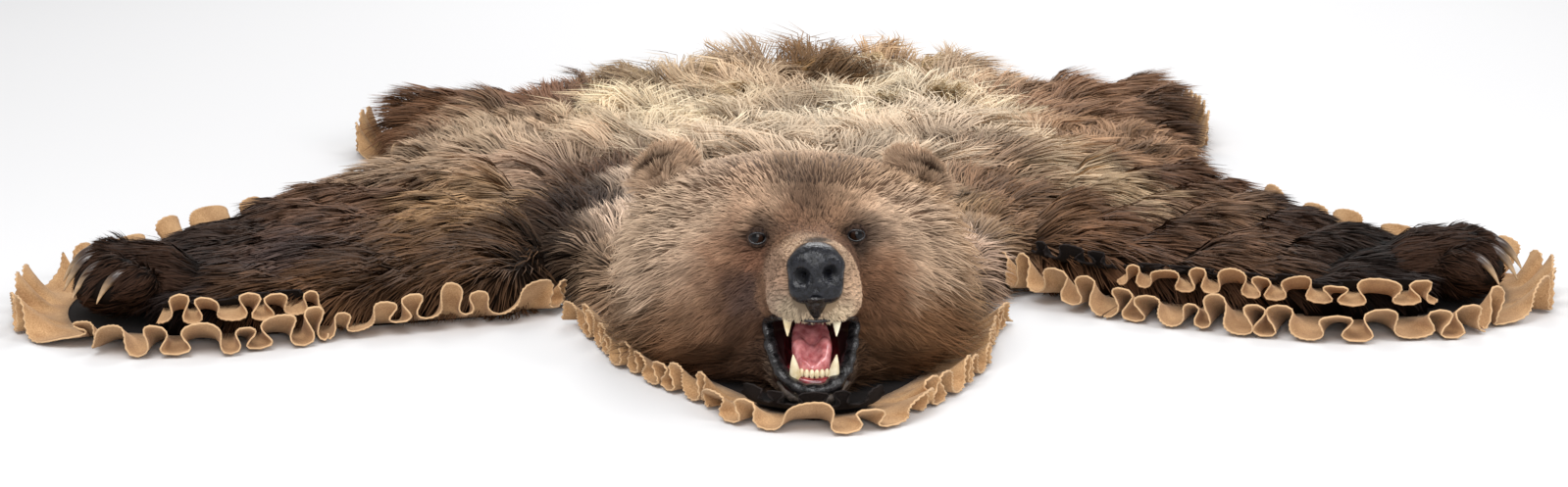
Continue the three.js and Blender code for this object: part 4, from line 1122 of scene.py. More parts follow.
FACE = [  # x, y, z, spread, push
    (-31, -800, 191, 19, -6), (84, -798, 194, 19, -6), (-54, -778, 214, 24, 7), (104, -776, 216, 24, 7),
    (28, -800, 214, 24, -5), (-2, -872, 138, 22, 5), (74, -872, 138, 22, 5), (16, -720, 272, 26, -6),
    (-130, -715, 150, 55, 8), (160, -715, 150, 55, 8), (-44, -812, 158, 20, -5), (98, -812, 158, 20, -5)]
FUR_DEPTH = ([-905, -865, -820, -780, -740, -690, -520], [0, 2, 3, 7, 12, 16, 20])  # at each y
JAW_DEPTH = ([-889, -778], [0, 6])


def head_rings(rows, along, around, groove=0):
    """Rings between a table's rows. Each runs round its middle as a superellipse, squarer below
    the widest height than above it, with an optional groove pressed into its top."""
    table = catmull_rom(rows, np.linspace(0, len(rows) - 1, along), even=True)
    y, mid, top, wide, low, half = (table[:, k, None] for k in range(6))
    angle = np.linspace(0, 2 * math.pi, around, endpoint=False)[None]
    c, s = np.cos(angle), np.sin(angle)
    square = np.where(s < 0, 0.55, 0.85)
    x = mid + np.sign(c) * np.abs(c) ** square * half
    up_down = np.sign(s) * np.abs(s) ** square
    z = wide + np.where(s > 0, top - wide, wide - low) * up_down - groove * np.clip(s, 0, 1) ** 8
    return np.stack([x, np.broadcast_to(y, x.shape), z], -1)


def ring_normals(rings):
    """Outward normals of closed rings: the cross product of the steps around and along."""
    along = np.gradient(rings, axis=0)
    around = np.roll(rings, -1, 1) - np.roll(rings, 1, 1)
    normal = unit(np.cross(around, along))
    return np.where(((rings - rings.mean(1, keepdims=True)) * normal).sum() > 0, normal, -normal)


def pushed(rings, bumps, inset=None):
    """Rings moved along their normals by bumps, each its push times a bell curve of the distance
    over its spread, and back by an inset read from y. Nothing goes below the bed."""
    normal = ring_normals(rings)
    move = np.zeros(rings.shape[:2])
    for x, y, z, spread, push in bumps:
        move += push * np.exp(-((rings - (x, y, z)) ** 2).sum(-1) / spread**2)
    if inset:
        move -= np.interp(rings[..., 1], *inset)
    moved = rings + normal * move[..., None]
    moved[..., 2] = np.maximum(moved[..., 2], BED)
    return moved


skull = pushed(head_rings(SKULL, 90, 96), FACE, FUR_DEPTH)
jaw = pushed(head_rings(JAW, 30, 60), [], JAW_DEPTH)
print("skull grid:", skull.shape, "jaw grid:", jaw.shape)

# %% [markdown]
# The face changes colour in patches too: dark round the eyes and on the brow, golden on the
# muzzle, grizzled silver on the cheeks and chocolate under the jaw. The same kind of table as
# for the coat serves, with places in space instead of on the plan.

# %% Colours of the face
FACE_COAT = [  # x, y, z, spread, root, tip
    # bridge and brow
    (17, -901, 196, 16, (130, 104, 82), (204, 178, 152)),
    (55, -900, 197, 14, (130, 104, 82), (204, 178, 152)),
    # dark spot on the bridge
    (35, -877, 207, 9, (34, 28, 25), (62, 52, 46)),
    (21, -857, 207, 14, (118, 92, 72), (196, 166, 138)),
    (37, -828, 208, 20, (84, 60, 46), (138, 104, 80)),
    (6, -796, 214, 22, (72, 52, 40), (122, 92, 72)),
    (65, -787, 218, 22, (82, 60, 46), (138, 106, 82)),
    # forehead
    (36, -772, 232, 26, (58, 44, 35), (106, 83, 67)),
    (12, -738, 254, 24, (58, 44, 35), (112, 90, 74)),
    (48, -734, 257, 24, (58, 44, 35), (108, 86, 70)),
    (-24, -749, 246, 30, (102, 80, 64), (186, 156, 130)),
    (78, -758, 238, 28, (102, 80, 63), (190, 157, 128)),
    (-34, -776, 224, 28, (98, 76, 61), (176, 145, 119)),
    (26, -752, 248, 28, (44, 33, 26), (80, 62, 50)),
    # crown
    (-43, -706, 267, 34, (86, 66, 53), (164, 134, 111)),
    (24, -570, 244, 34, (100, 78, 60), (190, 160, 132)),
    (75, -706, 267, 34, (86, 65, 52), (160, 131, 106)),
    (-60, -680, 260, 40, (112, 88, 70), (210, 183, 158)),
    (20, -690, 272, 36, (68, 52, 42), (130, 104, 85)),
    (82, -680, 260, 40, (100, 76, 58), (184, 154, 126)),
    (10, -640, 270, 46, (108, 84, 64), (202, 174, 146)),
    # eye surrounds
    (-32, -797, 191, 18, (20, 15, 14), (38, 31, 29)),
    (85, -796, 194, 19, (20, 15, 14), (38, 31, 29)),
    (-17, -799, 206, 13, (24, 19, 18), (50, 42, 39)),
    (104, -788, 190, 17, (34, 26, 23), (68, 53, 46)),
    (-34, -802, 173, 14, (80, 54, 42), (142, 102, 80)),
    (81, -835, 181, 14, (60, 44, 36), (112, 84, 68)),
    (-54, -786, 197, 20, (80, 58, 46), (140, 106, 84)),
    # cheeks
    (-90, -756, 207, 32, (112, 88, 71), (194, 167, 142)),
    (-125, -750, 176, 34, (120, 96, 78), (206, 182, 157)),
    (-151, -725, 192, 36, (116, 92, 74), (200, 174, 148)),
    (-153, -737, 150, 34, (114, 90, 72), (196, 170, 145)),
    (-111, -763, 149, 32, (100, 77, 62), (172, 142, 118)),
    (-73, -782, 163, 28, (76, 52, 39), (138, 102, 78)),
    (-59, -794, 134, 24, (50, 36, 31), (94, 70, 58)),
    (-45, -803, 124, 18, (48, 38, 36), (84, 68, 62)),
    (-111, -761, 108, 30, (82, 61, 47), (156, 124, 99)),
    (-82, -778, 93, 28, (70, 50, 38), (128, 96, 74)),
    (-49, -797, 85, 22, (52, 37, 29), (96, 71, 56)),
    (119, -769, 211, 30, (112, 88, 71), (192, 165, 140)),
    (148, -760, 186, 32, (118, 93, 75), (200, 173, 147)),
    (161, -761, 149, 30, (112, 88, 70), (190, 162, 135)),
    (124, -784, 160, 26, (78, 54, 40), (146, 108, 82)),
    (112, -795, 138, 24, (64, 44, 32), (122, 88, 66)),
    (163, -541, 61, 26, (90, 66, 48), (170, 136, 106)),
    (114, -794, 106, 24, (60, 42, 30), (114, 82, 60)),
    # lower cheeks
    (-154, -544, 62, 30, (70, 48, 34), (134, 100, 72)),
    (-108, -760, 75, 28, (56, 38, 27), (112, 80, 56)),
    (-68, -776, 52, 26, (44, 30, 22), (90, 64, 46)),
    (-36, -776, 38, 24, (40, 29, 23), (80, 60, 48)),
    (165, -754, 89, 28, (66, 45, 30), (128, 92, 64)),
    (132, -774, 65, 26, (56, 38, 26), (110, 80, 56)),
    (100, -785, 55, 24, (46, 33, 25), (92, 68, 50)),
    # muzzle
    (-15, -876, 157, 18, (94, 74, 60), (168, 138, 116)),
    (-12, -887, 136, 14, (94, 80, 68), (170, 148, 128)),
    (-25, -835, 128, 14, (78, 58, 46), (140, 108, 86)),
    (77, -891, 169, 15, (112, 90, 72), (196, 164, 136)),
    (80, -892, 137, 14, (114, 92, 74), (200, 170, 142)),
    (3, -900, 126, 10, (110, 96, 80), (190, 172, 146)),
    (71, -899, 126, 10, (140, 122, 98), (226, 206, 176)),
    (2, -897, 182, 12, (96, 74, 60), (172, 140, 116)),
    # chin and neck
    (34, -876, 20, 24, (60, 54, 48), (128, 114, 100)),
    (-8, -850, 40, 18, (64, 52, 44), (120, 102, 88)),
    (74, -850, 40, 18, (64, 52, 44), (120, 102, 88)),
    (-190, -640, 150, 50, (104, 80, 62), (204, 178, 152)),
    (214, -640, 150, 50, (86, 64, 46), (182, 150, 120)),
    (-200, -640, 70, 56, (48, 34, 24), (104, 77, 55)),
    (210, -640, 70, 50, (58, 40, 26), (120, 90, 62)),
    (-170, -560, 170, 50, (96, 74, 56), (196, 168, 140)),
    (180, -560, 170, 50, (92, 70, 48), (184, 152, 116)),
    (0, -620, 262, 60, (110, 86, 66), (206, 178, 150)),
    # nape
    (0, -530, 130, 70, (104, 80, 62), (204, 176, 150)),
    (-110, -535, 110, 50, (98, 74, 57), (194, 164, 136)),
    (115, -535, 110, 50, (96, 72, 54), (190, 160, 130)),
    (0, -525, 70, 60, (92, 70, 54), (186, 156, 128)),
]


print("patches of the face:", len(FACE_COAT))

# %% [markdown]
# What isn't furred is bare and mostly wet: nose, lips, lids, gums, tongue, teeth and the lining
# of the mouth. One recipe serves them all: two tones over a noise on Object coordinates, and the
# same noise as a bump. Roughness, coat and scale tell them apart, from the dry skin of a lid to
# the varnished tongue. Image textures could hold more detail, but would need a picture.

# %% Wet and bare materials
# painted shade: the near black painted into the floor of each nostril
NOSTRIL_SHADE = (0.002, 0.002, 0.002)  # the black of a nostril


def mottled_material(name, dark, light, roughness, scale, bump_depth, **sockets):
    """Two tones over a noise in object space, which also gives a bump of a depth in metres."""
    material, tree, shader = plain_material(name, roughness, **sockets)
    nodes, links = tree.nodes, tree.links
    place = nodes.new("ShaderNodeTexCoord")
    noise = nodes.new("ShaderNodeTexNoise")
    noise.inputs["Scale"].default_value = scale
    noise.inputs["Detail"].default_value = 6
    tones = nodes.new("ShaderNodeValToRGB")
    tones.color_ramp.elements[0].position = 0.35
    tones.color_ramp.elements[1].position = 0.68
    tones.color_ramp.elements[0].color = (*linear(dark), 1)
    tones.color_ramp.elements[1].color = (*linear(light), 1)
    bump = nodes.new("ShaderNodeBump")
    bump.inputs["Strength"].default_value = 0.6
    bump.inputs["Distance"].default_value = bump_depth
    links.new(place.outputs["Object"], noise.inputs["Vector"])
    links.new(noise.outputs["Fac"], tones.inputs["Fac"])
    links.new(noise.outputs["Fac"], bump.inputs["Height"])
    links.new(tones.outputs["Color"], shader.inputs["Base Color"])
    links.new(bump.outputs["Normal"], shader.inputs["Normal"])
    return material


def darkened(material, attribute):
    """The material with painted shade where an attribute is 1: its colour taken down to near black and its
    gloss down to a roughness of 0.8.
    """
    share = marked_colour(material, attribute, NOSTRIL_SHADE)
    tree = material.node_tree
    roughness = tree.nodes["Principled BSDF"].inputs["Roughness"]
    rough = tree.nodes.new("ShaderNodeMapRange")
    rough.inputs["To Min"].default_value = roughness.default_value
    rough.inputs["To Max"].default_value = 0.8
    tree.links.new(share.outputs["Fac"], rough.inputs["Value"])
    tree.links.new(rough.outputs["Result"], roughness)
    return material


NOSE_SKIN = darkened(mottled_material("nose_skin", (9, 9, 12), (31, 32, 38), 0.15, 260, 0.0018,
                                      Specular_IOR_Level=0.3), "pit")
LIP_SKIN = mottled_material("lip_skin", (10, 9, 10), (42, 39, 40), 0.22, 150, 0.003,
                            Specular_IOR_Level=0.4)
CHIN_SKIN = mottled_material("chin_skin", (34, 29, 26), (96, 84, 76), 0.55, 150, 0.003)
LID_SKIN = mottled_material("lid_skin", (30, 23, 20), (72, 56, 47), 0.9, 300, 0.0012,
                            Specular_IOR_Level=0.03)
LINING = mottled_material("mouth_lining", (42, 10, 12), (98, 30, 34), 0.3, 90, 0.001,
                          Coat_Weight=0.5, Coat_Roughness=0.15)
GUM = mottled_material("gum", (92, 22, 28), (150, 54, 58), 0.22, 150, 0.0008,
                       Coat_Weight=0.7, Coat_Roughness=0.1)
TONGUE_SKIN = mottled_material("tongue_skin", (176, 92, 94), (232, 152, 152), 0.18, 110, 0.0006,
                               Coat_Weight=0.7, Coat_Roughness=0.12, Subsurface_Weight=0.12)
TOOTH = mottled_material("tooth", (206, 184, 138), (246, 236, 208), 0.22, 70, 0.0002,
                         Coat_Weight=0.4, Coat_Roughness=0.1)
print("materials so far:", len(bpy.data.materials))

# %% [markdown]
# The skin of the head must be open at the mouth. Skull and jaw are joined with a Boolean
# modifier and the mouth is cut out with another, because a loft alone can't fork into two jaws.
# The cutter carries the wet lining's material, and the modifier hands it to the faces it leaves.

# %% Skin of the head
LIP_ROOT = (34, 14, 14)  # colour of the bare skin behind the lips
NOSE_BASE = (36, -912, 174)


def shaped(base, changes):
    """The mesh of an object with Boolean modifiers applied, one for each (operation, cutter)."""
    for operation, cutter in changes:
        change = base.modifiers.new(operation.lower(), "BOOLEAN")
        change.operation = operation
        change.object = cutter
        change.solver = "EXACT"
        change.material_mode = "TRANSFER"
    result = bpy.data.meshes.new_from_object(base.evaluated_get(bpy.context.evaluated_depsgraph_get()))
    for _, cutter in changes:
        bpy.data.objects.remove(cutter)
    base.modifiers.clear()
    base.data = result
    return base


def lip_share(places):
    """1 between the lips and the hollow of the mouth, where no fur grows, and 0 outside: the
    product of ramps at the limits in x, y and z."""
    x, y, z = places.T
    return ramp(46 - np.abs(x - 32), 0, 4) * ramp(z, 24, 30) * ramp(120 - z, 0, 6) * ramp(-y, 795, 805)


head_skin = put_mesh("head_skin", *capped_rings(skull))
jaw_form = put_mesh("jaw_form", *capped_rings(jaw))
hollow_form = put_mesh("hollow_form", *capped_rings(head_rings(MOUTH, 24, 48)))
for form, material in ((head_skin, FUR), (jaw_form, FUR), (hollow_form, LINING)):
    form.data.materials.append(material)
head_skin = shaped(head_skin, [("UNION", jaw_form), ("DIFFERENCE", hollow_form)])
head_skin.data.polygons.foreach_set("use_smooth", np.full(len(head_skin.data.polygons), True))
skin_places = mesh_points(head_skin)
behind_nose = ramp(np.linalg.norm(skin_places - NOSE_BASE, axis=1), 24, 32)
in_lips = lip_share(skin_places)[:, None]
skin_tones = blended(skin_places, FACE_COAT)[0] * behind_nose[:, None]
paint(head_skin, skin_tones * (1 - in_lips) + linear(LIP_ROOT) * in_lips)
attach(head_skin, "root")
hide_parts("head")
print("head skin:", len(head_skin.data.polygons), "faces")

# %% [markdown]
# Nose and tongue are bare, so their form shows. Both are lofted like the head: bumps press the
# nostrils into the nose and a fold into the tongue, and an attribute darkens the nostrils' floor,
# which the light would otherwise reach.

# %% Nose and tongue
NOSTRILS = [  # x, y, z, spread, push
    (20, -921, 173, 8, -17), (12, -914, 168, 6, -8), (53, -921, 177, 8, -17), (60, -914, 171, 6, -8),
    (36, -925, 158, 4, -4), (36, -923, 148, 4, -3), (10, -908, 184, 8, 3), (62, -908, 184, 8, 3),
    (26, -920, 190, 9, 2), (46, -920, 190, 9, 2)]
TONGUE_FOLD = [
    (20, -846, 80, 11, 7), (46, -846, 80, 11, 7), (33, -858, 66, 8, -5), (33, -848, 78, 7, -9),
    (33, -835, 80, 7, -10)]
PITS = np.array([(20, -918, 173), (53, -918, 177)])
nose = put_mesh("nose", *capped_rings(pushed(head_rings(NOSE_PAD, 46, 90), NOSTRILS)))
nearest = np.linalg.norm(mesh_points(nose)[:, None] - PITS, axis=-1).min(1)
# painted shade on the nostrils' floor: 1 at the pits, fading out by 10.5 mm
mark(nose, "pit", 1 - ramp(nearest, 5, 10.5))
fit_out(nose, NOSE_SKIN, "nose", "nose_pad")
tongue = put_mesh("tongue_wet", *capped_rings(pushed(head_rings(TONGUE, 40, 72, groove=9), TONGUE_FOLD)))
fit_out(tongue, TONGUE_SKIN, "mouth", "tongue")
print("nose faces:", len(nose.data.polygons), "tongue faces:", len(tongue.data.polygons))

# %% [markdown]
# Lips, lids and gums are tubes: a round section carried along a smooth path through a few points,
# thicker in the middle of the path than at its ends. A curve object with a bevel would do the
# same, but here the section's wobble and flatness are part of the formula.

# %% Tubes for lips, lids and gums
def tube(name, path, thick, material, slot, around=20, steps=64, closed=False, flat=1.0, wobble=0.0):
    """A tube on a smooth path. Its section is a circle, or an ellipse flat times as high as wide,
    in the plane across the path, and its radius is read from thick at even shares of the path."""
    path = np.asarray(path, float)
    if closed:
        round_trip = np.linspace(0, 1, steps, endpoint=False) * len(path)
        line = catmull_rom(np.concatenate([path, path[:1]]), round_trip, even=True)
    else:
        line = catmull_rom(path, np.linspace(0, len(path) - 1, steps), even=True)
    share = np.linspace(0, 1, steps)
    radius = np.interp(share, np.linspace(0, 1, len(thick)), thick)
    radius = radius * (1 + wobble * drift(line, 14, 4))
    along = unit(np.roll(line, -1, 0) - np.roll(line, 1, 0) if closed else np.gradient(line, axis=0))
    sideways = unit(np.cross(along, (0.0, 0.12, 1.0)))
    upward = np.cross(sideways, along)
    angle = np.linspace(0, 2 * math.pi, around, endpoint=False)[None, :, None]
    rings = line[:, None] + radius[:, None, None] * (
        sideways[:, None] * np.cos(angle) + upward[:, None] * np.sin(angle) * flat)
    if closed:
        quads = grid_quads(steps + 1, around, closed=True) % (steps * around)
        piece = put_mesh(name, rings.reshape(-1, 3), quads)
    else:
        piece = put_mesh(name, *capped_rings(rings))
    return fit_out(piece, material, slot)


UPPER_LIP = [(-20, -806, 92), (-10, -846, 106), (4, -880, 114), (20, -897, 117), (36, -902, 116),
             (52, -897, 117), (67, -880, 114), (78, -846, 106), (83, -806, 92)]
LOWER_LIP = [(-20, -806, 90), (-14, -836, 66), (-2, -864, 44), (14, -882, 34), (34, -890, 30),
             (54, -882, 34), (68, -864, 44), (78, -836, 66), (83, -806, 90)]
CHIN_FOLD = [(x + (x - 33) * 0.12, y + 7, z - 12) for x, y, z in LOWER_LIP[2:-2]]
PHILTRUM = [(36, -908, 152), (36, -903, 136), (36, -896, 119)]
LOWER_GUM = [(6, -846, 46), (10, -862, 39), (22, -872, 37), (35, -875, 36), (48, -872, 37),
             (60, -862, 39), (64, -846, 46)]
UPPER_GUM = [(0, -852, 120), (3, -872, 121), (18, -884, 121), (33, -887, 121), (48, -884, 121),
             (62, -872, 121), (66, -852, 120)]
tube("lip_upper", UPPER_LIP, (5, 4, 4, 3, 2.5, 3, 4, 4, 5), LIP_SKIN, "nose", wobble=0.2)
tube("lip_lower", LOWER_LIP, (6, 8, 9, 10, 10, 10, 9, 8, 6), LIP_SKIN, "nose", steps=120, around=28,
     flat=0.8, wobble=0.2)
tube("lip_fold", CHIN_FOLD, (4, 9, 11, 9, 4), CHIN_SKIN, "nose", steps=110, around=28, flat=0.9,
     wobble=0.25)
tube("philtrum", PHILTRUM, (17, 12, 6), LIP_SKIN, "nose", steps=30, around=32)
tube("gum_lower", LOWER_GUM, (5, 6, 5, 5, 5, 6, 5), GUM, "mouth", wobble=0.1)
tube("gum_upper", UPPER_GUM, (5, 6, 4, 4, 4, 6, 5), GUM, "mouth", wobble=0.1)
print("points of the lips:", len(UPPER_LIP), "and", len(LOWER_LIP))

# %% [markdown]
# Glass eyes are small but they hold the look. Each is a fine sphere with its colour painted
# from the middle of its gaze outwards: black pupil, dark brown iris, near-black rim. Two closed
# tubes run round it on the same sphere: a dry lid, and inside it the narrow wet margin.

# %% Eyes
EYE_RADIUS = 12
PUPIL, IRIS, EYE_RIM = linear((4, 4, 5)), linear((34, 20, 13)), linear((6, 5, 5))
PUPIL_ANGLE, IRIS_ANGLE = 22, 46  # degrees off the gaze
GLASS = toned_material("eye_glass", 0.05, Specular_IOR_Level=0.22)


def ball(middle, radii, rows, columns):
    """Rings of an ellipsoid from its front to its back, for capped_rings."""
    slope = np.linspace(0, math.pi, rows + 2)[1:-1, None]
    turn = np.linspace(0, 2 * math.pi, columns, endpoint=False)[None]
    unit_ball = np.stack([np.sin(slope) * np.cos(turn), -np.cos(slope) * np.ones_like(turn),
                          np.sin(slope) * np.sin(turn)], -1)
    return np.asarray(middle, float) + unit_ball * np.asarray(radii, float)


def eye_ring(wide, back, high, count=12):
    """Directions round an eye: an oval about its front, wide and high, set back from -1 to 0."""
    turn = np.linspace(0, 2 * math.pi, count, endpoint=False)
    return unit(np.stack([wide * np.cos(turn), np.full(count, back), high * np.sin(turn)], -1))


def eye(name, middle, gaze):
    """A glass eye coloured by the angle off its gaze, with its lid and its wet margin."""
    piece = put_mesh(name + "_glass", *capped_rings(ball(middle, [EYE_RADIUS] * 3, 40, 64)))
    facing = unit(mesh_points(piece) - middle) @ unit(np.array(gaze, float))
    off = np.degrees(np.arccos(np.clip(facing, -1, 1)))[:, None]
    paint(piece, np.where(off < PUPIL_ANGLE, PUPIL, np.where(off < IRIS_ANGLE, IRIS, EYE_RIM)))
    fit_out(piece, GLASS, "eye", name)
    lid = middle + eye_ring(1.12, -0.62, 0.78) * EYE_RADIUS
    tube(name + "_lid", lid, (2.6, 3.7, 2.6, 3.2, 2.6), LID_SKIN, "fur_head", around=16, steps=60,
         closed=True)
    margin = middle + eye_ring(1.05, -0.8, 0.5) * (EYE_RADIUS + 0.2)
    tube(name + "_margin", margin, (1.2, 1.5, 1.2, 1.2, 1.2), LIP_SKIN, "nose", around=12, steps=60,
         closed=True)
    print(name, "glass faces:", len(piece.data.polygons))


eye("eye_left", LEFT_EYE, (-0.25, -1, 0.02))
eye("eye_right", RIGHT_EYE, (0.25, -1, 0.02))

# %% [markdown]
# Teeth and claws are horns: a round section that shrinks towards the tip while its middle
# follows a quadratic curve from root to tip. One function makes them all. Claws are flattened
# from side to side, dark at the root and worn to a pale tip.

# %% Horns
def joined(name, bodies):
    """One mesh from several closed bodies, each given as points, four-sided and three-sided
    faces: the corner numbers of a body start after the points of those before it."""
    start = np.cumsum([0] + [len(points) for points, _, _ in bodies])
    return put_mesh(name, np.concatenate([points for points, _, _ in bodies]),
                    np.concatenate([quads + first for (_, quads, _), first in zip(bodies, start)]),
                    np.concatenate([fans + first for (_, _, fans), first in zip(bodies, start)]))


def horn(name, root, tip, thick, hump, flat=1.0, rows=26, around=20):
    """A mesh of rings, and how far along it each of its points lies, from 0 to 1. The rings run on
    the quadratic curve root, bend, tip, where bend is a little past halfway and hump higher. The
    radius is thick (1 - 0.92 t^1.7)."""
    root, tip = np.array(root, float), np.array(tip, float)
    bend = root * 0.45 + tip * 0.55 + (0, 0, hump)
    t = np.linspace(0, 1, rows)[:, None]
    line = root * (1 - t) ** 2 + 2 * bend * t * (1 - t) + tip * t**2
    along = unit(np.gradient(line, axis=0))
    sideways = unit(np.cross(along, (0.1, 0.3, 1.0)))
    over = np.cross(sideways, along)
    radius = (thick * (1 - 0.92 * t**1.7))[..., None]
    angle = np.linspace(0, 2 * math.pi, around, endpoint=False)[None, :, None]
    spokes = sideways[:, None] * np.cos(angle) * flat + over[:, None] * np.sin(angle)
    piece = put_mesh(name, *capped_rings(line[:, None] + radius * spokes))
    return piece, np.concatenate([np.repeat(t[:, 0], around), [0, 1]])


CANINES = [  # name, root, tip, thickness
    ("canine_upper_left", (4, -876, 124), (4, -886, 94), 6.6),
    ("canine_upper_right", (61, -876, 124), (60, -886, 94), 6.6),
    ("canine_lower_left", (13.5, -868, 38), (10.5, -877, 70), 7),
    ("canine_lower_right", (56.5, -868, 38), (60.5, -877, 70), 7),
]
for name, root, tip, thick in CANINES:
    tooth, _ = horn(name + "_tooth", root, tip, thick, 0)
    fit_out(tooth, TOOTH, "tooth", name)

# Balls, drawn tall, on a shallow parabola.
INCISORS, INCISOR_PITCH, INCISOR_RADII = 6, 5.9, (3.1, 2.8, 5.75)
ROW_X, ROW_Y, ROW_Z, ROW_BEND = 35, -872, 45.35, 0.02
teeth = []
for k in range(INCISORS):
    off = (k - (INCISORS - 1) / 2) * INCISOR_PITCH
    middle = (ROW_X + off, ROW_Y + ROW_BEND * off**2, ROW_Z)
    teeth.append(capped_rings(ball(middle, INCISOR_RADII, 12, 20)))
incisors = joined("incisor_row", teeth)
fit_out(incisors, TOOTH, "tooth", "incisors_lower")
print("canines:", len(CANINES), "incisor faces:", len(incisors.data.polygons))

# %% [markdown]
# The head's grids close round on themselves, so no map of heights serves them. Each root picks a
# face of the grid by its area and a place in it, and its strand runs back along the loft's own
# rows. None grows on nose, lips, lids or in the mouth.

# %% Roots on a grid
BARE_ROUND_EYE = 14.5


def grid_roots(rings, count, seed):
    """Random places on closed rings, even by area, with the normal and the way along the rows."""
    random = np.random.default_rng(seed)
    beside = np.roll(rings, -1, 1)
    area = np.linalg.norm(np.cross(beside[:-1] - rings[:-1], rings[1:] - rings[:-1]), axis=-1)
    pick = random.choice(area.size, count, p=(area / area.sum()).ravel())
    i, j = np.unravel_index(pick, area.shape)
    u, v = random.uniform(0, 1, (2, count, 1))
    low = rings[i, j] * (1 - u) + beside[i, j] * u
    high = rings[i + 1, j] * (1 - u) + beside[i + 1, j] * u
    normals = ring_normals(rings)
    return low * (1 - v) + high * v, normals[i, j], unit(high - low)


def bare_places(roots):
    """True on the nose, round the eyes, on the lips and in the mouth."""
    x, y, z = roots.T
    to_eye = np.minimum(np.linalg.norm(roots - LEFT_EYE, axis=1),
                        np.linalg.norm(roots - RIGHT_EYE, axis=1))
    on_nose = (y < -888) & (((x - 36) / 29) ** 2 + ((z - 176) / 36) ** 2 < 1)
    return (to_eye < BARE_ROUND_EYE) | on_nose | (lip_share(roots) > 0.5)


print("bare round each eye:", BARE_ROUND_EYE, "mm")

# %% [markdown]
# Fur on the face is short on the muzzle and grows longer, broader and more raised towards the
# cheeks and the neck. It sinks a little under its weight on the cheeks, and below them it turns
# outward as a beard. A ruff of long, raised locks stands where the head meets the hide.

# %% Fur of the head
# Length, lift and width of the strands at each y.
LENGTH_ON_FACE = ([-905, -880, -850, -820, -790, -760, -720, -670, -600, -530],
                  [7, 8, 10, 15, 24, 36, 48, 56, 60, 66])
LIFT_ON_FACE = ([-905, -850, -780, -700, -560], [0.25, 0.3, 0.46, 0.55, 0.55])
WIDTH_ON_FACE = ([-905, -820, -740, -600], [0.7, 0.8, 1.1, 1.5])


def face_fur(name, rings, count, seed, sink, longest=1.0, lock=8, form=SHORT, raised=0.0, broad=0.0):
    """Fur on a part of the head. Low on the cheeks it grows longer and turns outward, which makes
    the beard that falls over the border."""
    roots, normals, way = grid_roots(rings, count, seed)
    keep = ~bare_places(roots) & (roots[:, 2] > BED + 3) & (np.abs(normals[:, 0]) > broad)
    roots, normals, way = roots[keep], normals[keep], way[keep]
    length = np.interp(roots[:, 1], *LENGTH_ON_FACE) * longest
    length *= 1 - 0.6 * np.clip(normals[:, 2], 0, 1) * ramp(-roots[:, 1], 560, 640)
    low = ramp(-roots[:, 2], -115, -35) * ramp(roots[:, 1], -830, -770)
    length *= 1 + 0.55 * low
    weight = np.clip(1 - normals[:, 2], 0, 1) * ramp(roots[:, 1], -860, -740) * sink
    way = unit(way + normals * 0.1 - np.array([0, 0, 1]) * weight[:, None])
    way[:, 0] += 0.25 * np.sign(roots[:, 0] - 30) * ramp(np.abs(roots[:, 0] - 30), 10, 60)
    beard = unit((roots - (15, -700, 0)) * (1, 0.7, 0)) - (0, 0, 0.18)
    way = way * (1 - 0.8 * low[:, None]) + beard * 0.9 * low[:, None]
    lift = np.interp(roots[:, 1], *LIFT_ON_FACE) + raised
    width = np.interp(roots[:, 1], *WIDTH_ON_FACE)
    wander = np.stack([drift(roots, 22, k) for k in (23, 24, 25)], -1) * 9 * ramp(roots[:, 1:2], -860, -760)
    root_tone, tip_tone = blended(roots + wander, FACE_COAT)
    tones = root_tone + tip_tone * 0.08, tip_tone * 1.08
    strands = fur(name, roots, normals, way, tones, length, lift, width, lock, seed, pull=0.55,
                  curl=0.04, turn=0.16, droop=0.1, shade=0.74, form=form)
    fit_out(strands, FUR, "fur_head")


face_fur("fur_muzzle", skull[:25], 13000, 34, 0.3)
face_fur("fur_face", skull[23:48], 30000, 31, 0.55)
face_fur("fur_crown", skull[46:], 16500, 32, 0.5)
face_fur("fur_ruff", skull[40:74], 5600, 35, 0.7, longest=1.35, lock=17, form=LONG, raised=0.3, broad=0.62)
face_fur("fur_chin", jaw, 5000, 33, 0.5, longest=0.8)

# %% [markdown]
# A bear's ear is a thick round cup. Its surface runs round a rim circle and across it from the
# front, which is hollow, over the rim to the back, which is full. The strands point outwards
# from its middle: dark and short inside, long and pale over the rim.

# %% Ears
EARS = [("ear_left", (-143, -655, 234), -0.62, 66, 50), ("ear_right", (158, -655, 228), 0.62, 70, 50)]
EAR_DARK = (linear((26, 18, 14)), linear((66, 48, 37)))
EAR_PALE = (linear((120, 92, 72)), linear((206, 176, 148)))
EAR_DEPTH, EAR_HOLLOW, EAR_BEND = 11, 14, 5
EAR_STRANDS = 5500


def ear_rings(middle, turn, wide, high):
    """Rings from the front to the back of an ear. With a from -1 to 1, the ring's size is the
    root of 1 - a^2 and its depth goes with a. The hollow times 1 - size^2 is pressed into the
    front, and the rim bends back by the square of the cosine."""
    a = np.sin(np.linspace(-math.pi / 2, math.pi / 2, 34)[1:-1])[:, None]
    angle = np.linspace(0, 2 * math.pi, 60, endpoint=False)[None]
    size = np.sqrt(1 - a**2)
    hollow = np.where(a < 0, EAR_HOLLOW * (1 - size**2), 0)
    depth = EAR_DEPTH * a + hollow + EAR_BEND * np.cos(angle) ** 2
    x = wide / 2 * size * np.cos(angle)
    z = high / 2 * size * np.sin(angle)
    c, s = math.cos(turn), math.sin(turn)
    return np.stack([x * c + z * s, depth, -x * s + z * c], -1) + np.array(middle, float)


